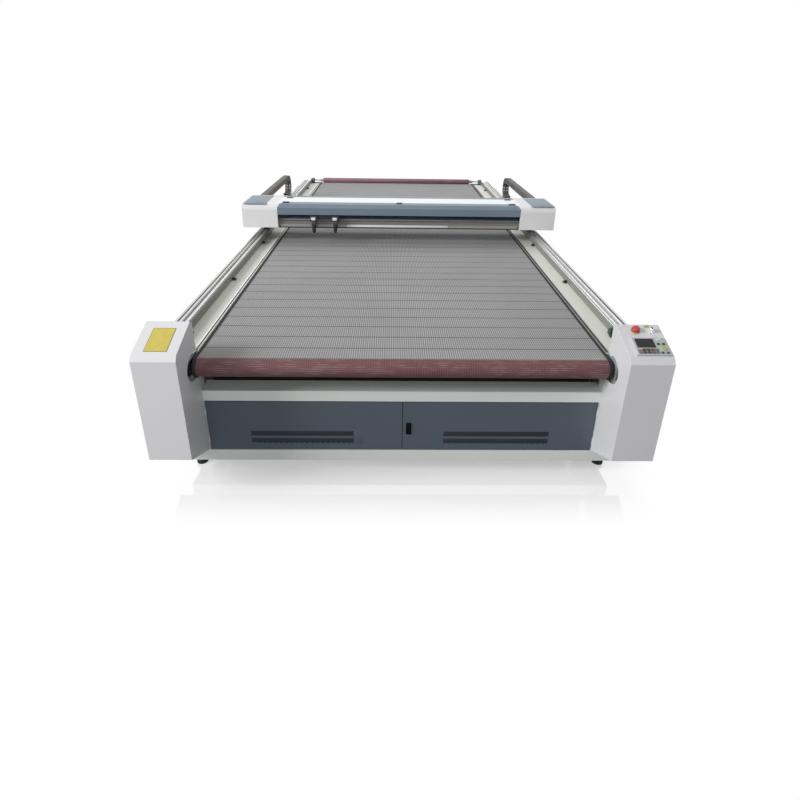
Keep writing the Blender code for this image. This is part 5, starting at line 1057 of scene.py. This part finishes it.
# Heads: two slate-coloured mirror heads on one carriage, each a wide block over a narrow one.
# A white moulded cap sits on each block, and a black focus tube slides in it.
UPPER = (0.031, 0.040)
LOWER = (0.020, 0.0395)
SETBACK = 0.002
HEAD_ROUNDING = 0.004
CAP_HALF = 0.0200
CAP_HEIGHTS = (0.029, 0.003)
CAP_DEPTHS = (0.0050, 0.0001)
CAP_CORNER = 0.008
CAP_ROUNDING = 0.0015
HEAD_SLATE = plastic("head_slate", (0.042, 0.050, 0.070), 0.42)
HEAD_BLACK = plastic("head_black", (0.018, 0.020, 0.022), 0.38)
CAP_WHITE = plastic("cap_white", (0.86, 0.83, 0.86), 0.32)
repaint(HEAD_BLACK, "head_carriage", "left_focus_tube", "right_focus_tube")
for side in SIDES:
    low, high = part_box(f"{side}_laser_head")
    middle = (low[0] + high[0]) / 2
    blocks = [((middle - UPPER[0], low[1], high[2] - UPPER[1]), (middle + UPPER[0], high[1], high[2])),
              ((middle - LOWER[0], low[1] + SETBACK, low[2]), (middle + LOWER[0], high[1], high[2] - LOWER[1]))]
    head = boxes(f"{side}_head_dressed", blocks, HEAD_SLATE, "cutting_heads", HEAD_ROUNDING)
    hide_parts(f"{side}_laser_head")
    outline = rounded_rectangle(middle - CAP_HALF, high[2] - CAP_HEIGHTS[0], middle + CAP_HALF,
                                high[2] - CAP_HEIGHTS[1], CAP_CORNER)
    prism(f"{side}_head_cap", outline, "Y", low[1] - CAP_DEPTHS[0], low[1] - CAP_DEPTHS[1], CAP_WHITE,
          "cutting_heads", CAP_ROUNDING)


# Cable chains: moulded links of dark plastic with open bars, hinged at round bosses.
# The upper run and the bend ride with the gantry. The lower run lies fixed in a bright tray.
CHAIN_LINK = 0.0465
CHAIN_X = 1.423
CHAIN_HALF_WIDTH = 0.036
CHAIN_HALF_HEIGHT = 0.030
CHAIN_MIDDLE = 1.114 - CHAIN_HALF_HEIGHT
CHAIN_BEND = 0.108
CHAIN_BEND_Y = 1.580
BEND_STEPS = 40
CHAIN_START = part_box("left_cable_chain")[0][1] + 0.002
CHAIN_TAIL = 0.060
TAIL_Z = CHAIN_MIDDLE - 2 * CHAIN_BEND
LOWER_Z = TAIL_Z - 2 * CHAIN_HALF_HEIGHT + 0.0002
LOWER_FRONT, LOWER_REAR = (corner[1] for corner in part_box("left_chain_lower_run"))
LINK_HALF = CHAIN_LINK / 2
CHEEK_INNER = CHAIN_HALF_WIDTH - 0.0065
CHEEK = (LINK_HALF * 1.02, CHAIN_HALF_HEIGHT - 0.0015)
CHEEK_ROUNDING = 0.0022
BOSS_PROFILE = [(0, 0.0008), (0.0095, 0.0008), (0.0105, -0.0010), (0.0105, -0.004), (0, -0.004)]
BOSS_STEPS = 14
BOSS_PLACE = (CHAIN_HALF_WIDTH - 0.0009, LINK_HALF * 0.9)
# A bar and a spine: half width, half length, inner and outer level, and rounding.
LINK_BARS = [(0.030, LINK_HALF * 0.62, CHAIN_HALF_HEIGHT - 0.0050, CHAIN_HALF_HEIGHT, 0.0018),
             (0.006, LINK_HALF * 0.98, CHAIN_HALF_HEIGHT - 0.0030, CHAIN_HALF_HEIGHT + 0.0004, 0.0012)]
CHAIN_PLASTIC = plastic("chain_plastic", (0.085, 0.078, 0.074), 0.34)
repaint(BRIGHT_STEEL, "left_chain_shelf", "right_chain_shelf")


def link_object():
    """One link round the origin, lying along Y."""
    work = bmesh.new()
    for sign in (-1, 1):
        low_x, high_x = span(sign, CHEEK_INNER, CHAIN_HALF_WIDTH)
        add_box(work, (low_x, -CHEEK[0], -CHEEK[1]), (high_x, *CHEEK), CHEEK_ROUNDING)
        add_lathe(work, BOSS_PROFILE, Matrix.Translation((sign * BOSS_PLACE[0], BOSS_PLACE[1], 0))
                  @ Matrix.Rotation(sign * UPRIGHT, 4, "Y"), BOSS_STEPS)
    for sign in (-1, 1):
        for half_width, half_length, inner, outer, rounding in LINK_BARS:
            low_z, high_z = span(sign, inner, outer)
            add_box(work, (-half_width, -half_length, low_z), (half_width, half_length, high_z), rounding)
    return linked("link", mesh_of(work, "link"))


upper_line = [(CHAIN_START, CHAIN_MIDDLE)]
upper_line += arc((CHAIN_BEND_Y, CHAIN_MIDDLE - CHAIN_BEND), CHAIN_BEND, 90, -90, BEND_STEPS)
upper_line.append((CHAIN_BEND_Y - CHAIN_TAIL, TAIL_Z))
lower_line = [(LOWER_FRONT, LOWER_Z), (LOWER_REAR, LOWER_Z)]
CHAIN_RUNS = {
    "chain_links": (upper_line, "gantry", "cable_chain"),
    "chain_fixed_links": (lower_line, "machine", "chain_lower_run"),
}
for side, sign in SIDES.items():
    for name, (line, body, node) in CHAIN_RUNS.items():
        count = round(line_length(line) / CHAIN_LINK)
        links = grow(name, PATH, Piece=link_object(), Path=path_object(sign * CHAIN_X, line),
                     Pitch=line_length(line) / count, Count=count, Finish=CHAIN_PLASTIC.material)
        run = add_piece(f"{side}_{name}", links, CHAIN_PLASTIC, body, SMOOTH_ANGLE)
        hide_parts(f"{side}_{node}")


# Floor: a white studio floor that takes a soft shadow and a faint reflection in front of the machine.
# Everywhere else the camera sees it pure white, and the machine gets little light back from it.
FLOOR_HALF = 60.0
FLOOR_Z = -0.001
FLOOR_SHADE_SHARE = 0.41
FLOOR_MIRROR_SHARE = 0.28
FLOOR_DIFFUSE_SHARE = 0.60
FLOOR_GLOSS = 0.07
FLOOR_DIM = (0.35, 0.35, 0.35, 1)
SHADE_SIDE = (1.62, 1.20)
SHADE_FRONT = (-3.10, -2.62)
MIRROR_SIDE = (1.50, 1.30)
MIRROR_FRONT = (-3.10, -2.70)
FLOOR_REAR = (2.2, 1.8)
floor_finish = Finish("floor", (0.65, 0.65, 0.65), 0.90)
floor_tree = floor_finish.tree
across = floor_finish.x.absolute()
inside = floor_finish.y.ramp(*FLOOR_REAR)
shade = across.ramp(*SHADE_SIDE) * floor_finish.y.ramp(*SHADE_FRONT) * inside
shine = floor_finish.y.ramp(*MIRROR_FRONT) * inside * across.ramp(*MIRROR_SIDE) * FLOOR_MIRROR_SHARE
lit = add_node(floor_tree, "ShaderNodeBsdfDiffuse", inputs={"Color": shade * FLOOR_DIFFUSE_SHARE})
glow = add_node(floor_tree, "ShaderNodeEmission", inputs={"Strength": 1 - shade * FLOOR_SHADE_SHARE})
pale = add_node(floor_tree, "ShaderNodeAddShader", inputs={0: lit.outputs[0], 1: glow.outputs[0]})
mirror = add_node(floor_tree, "ShaderNodeBsdfGlossy", inputs={"Roughness": FLOOR_GLOSS})
polished = add_node(floor_tree, "ShaderNodeMixShader",
                    inputs={0: shine, 1: pale.outputs[0], 2: mirror.outputs[0]})
dim = add_node(floor_tree, "ShaderNodeBsdfDiffuse", inputs={"Color": FLOOR_DIM})
floor_ray = add_node(floor_tree, "ShaderNodeLightPath")
shown = add_node(floor_tree, "ShaderNodeMixShader",
                 inputs={0: floor_ray.outputs["Is Camera Ray"], 1: dim.outputs[0], 2: polished.outputs[0]})
floor_tree.links.new(shown.outputs[0], floor_tree.nodes["Material Output"].inputs[0])

floor_mesh = bpy.data.meshes.new("floor")
corners = [(x * FLOOR_HALF, y * FLOOR_HALF, FLOOR_Z) for x, y in ((-1, -1), (1, -1), (1, 1), (-1, 1))]
floor_mesh.from_pydata(corners, [], [(0, 1, 2, 3)])
floor_mesh.materials.append(floor_finish.material)
floor = linked("floor", floor_mesh)

bpy.context.view_layer.update()
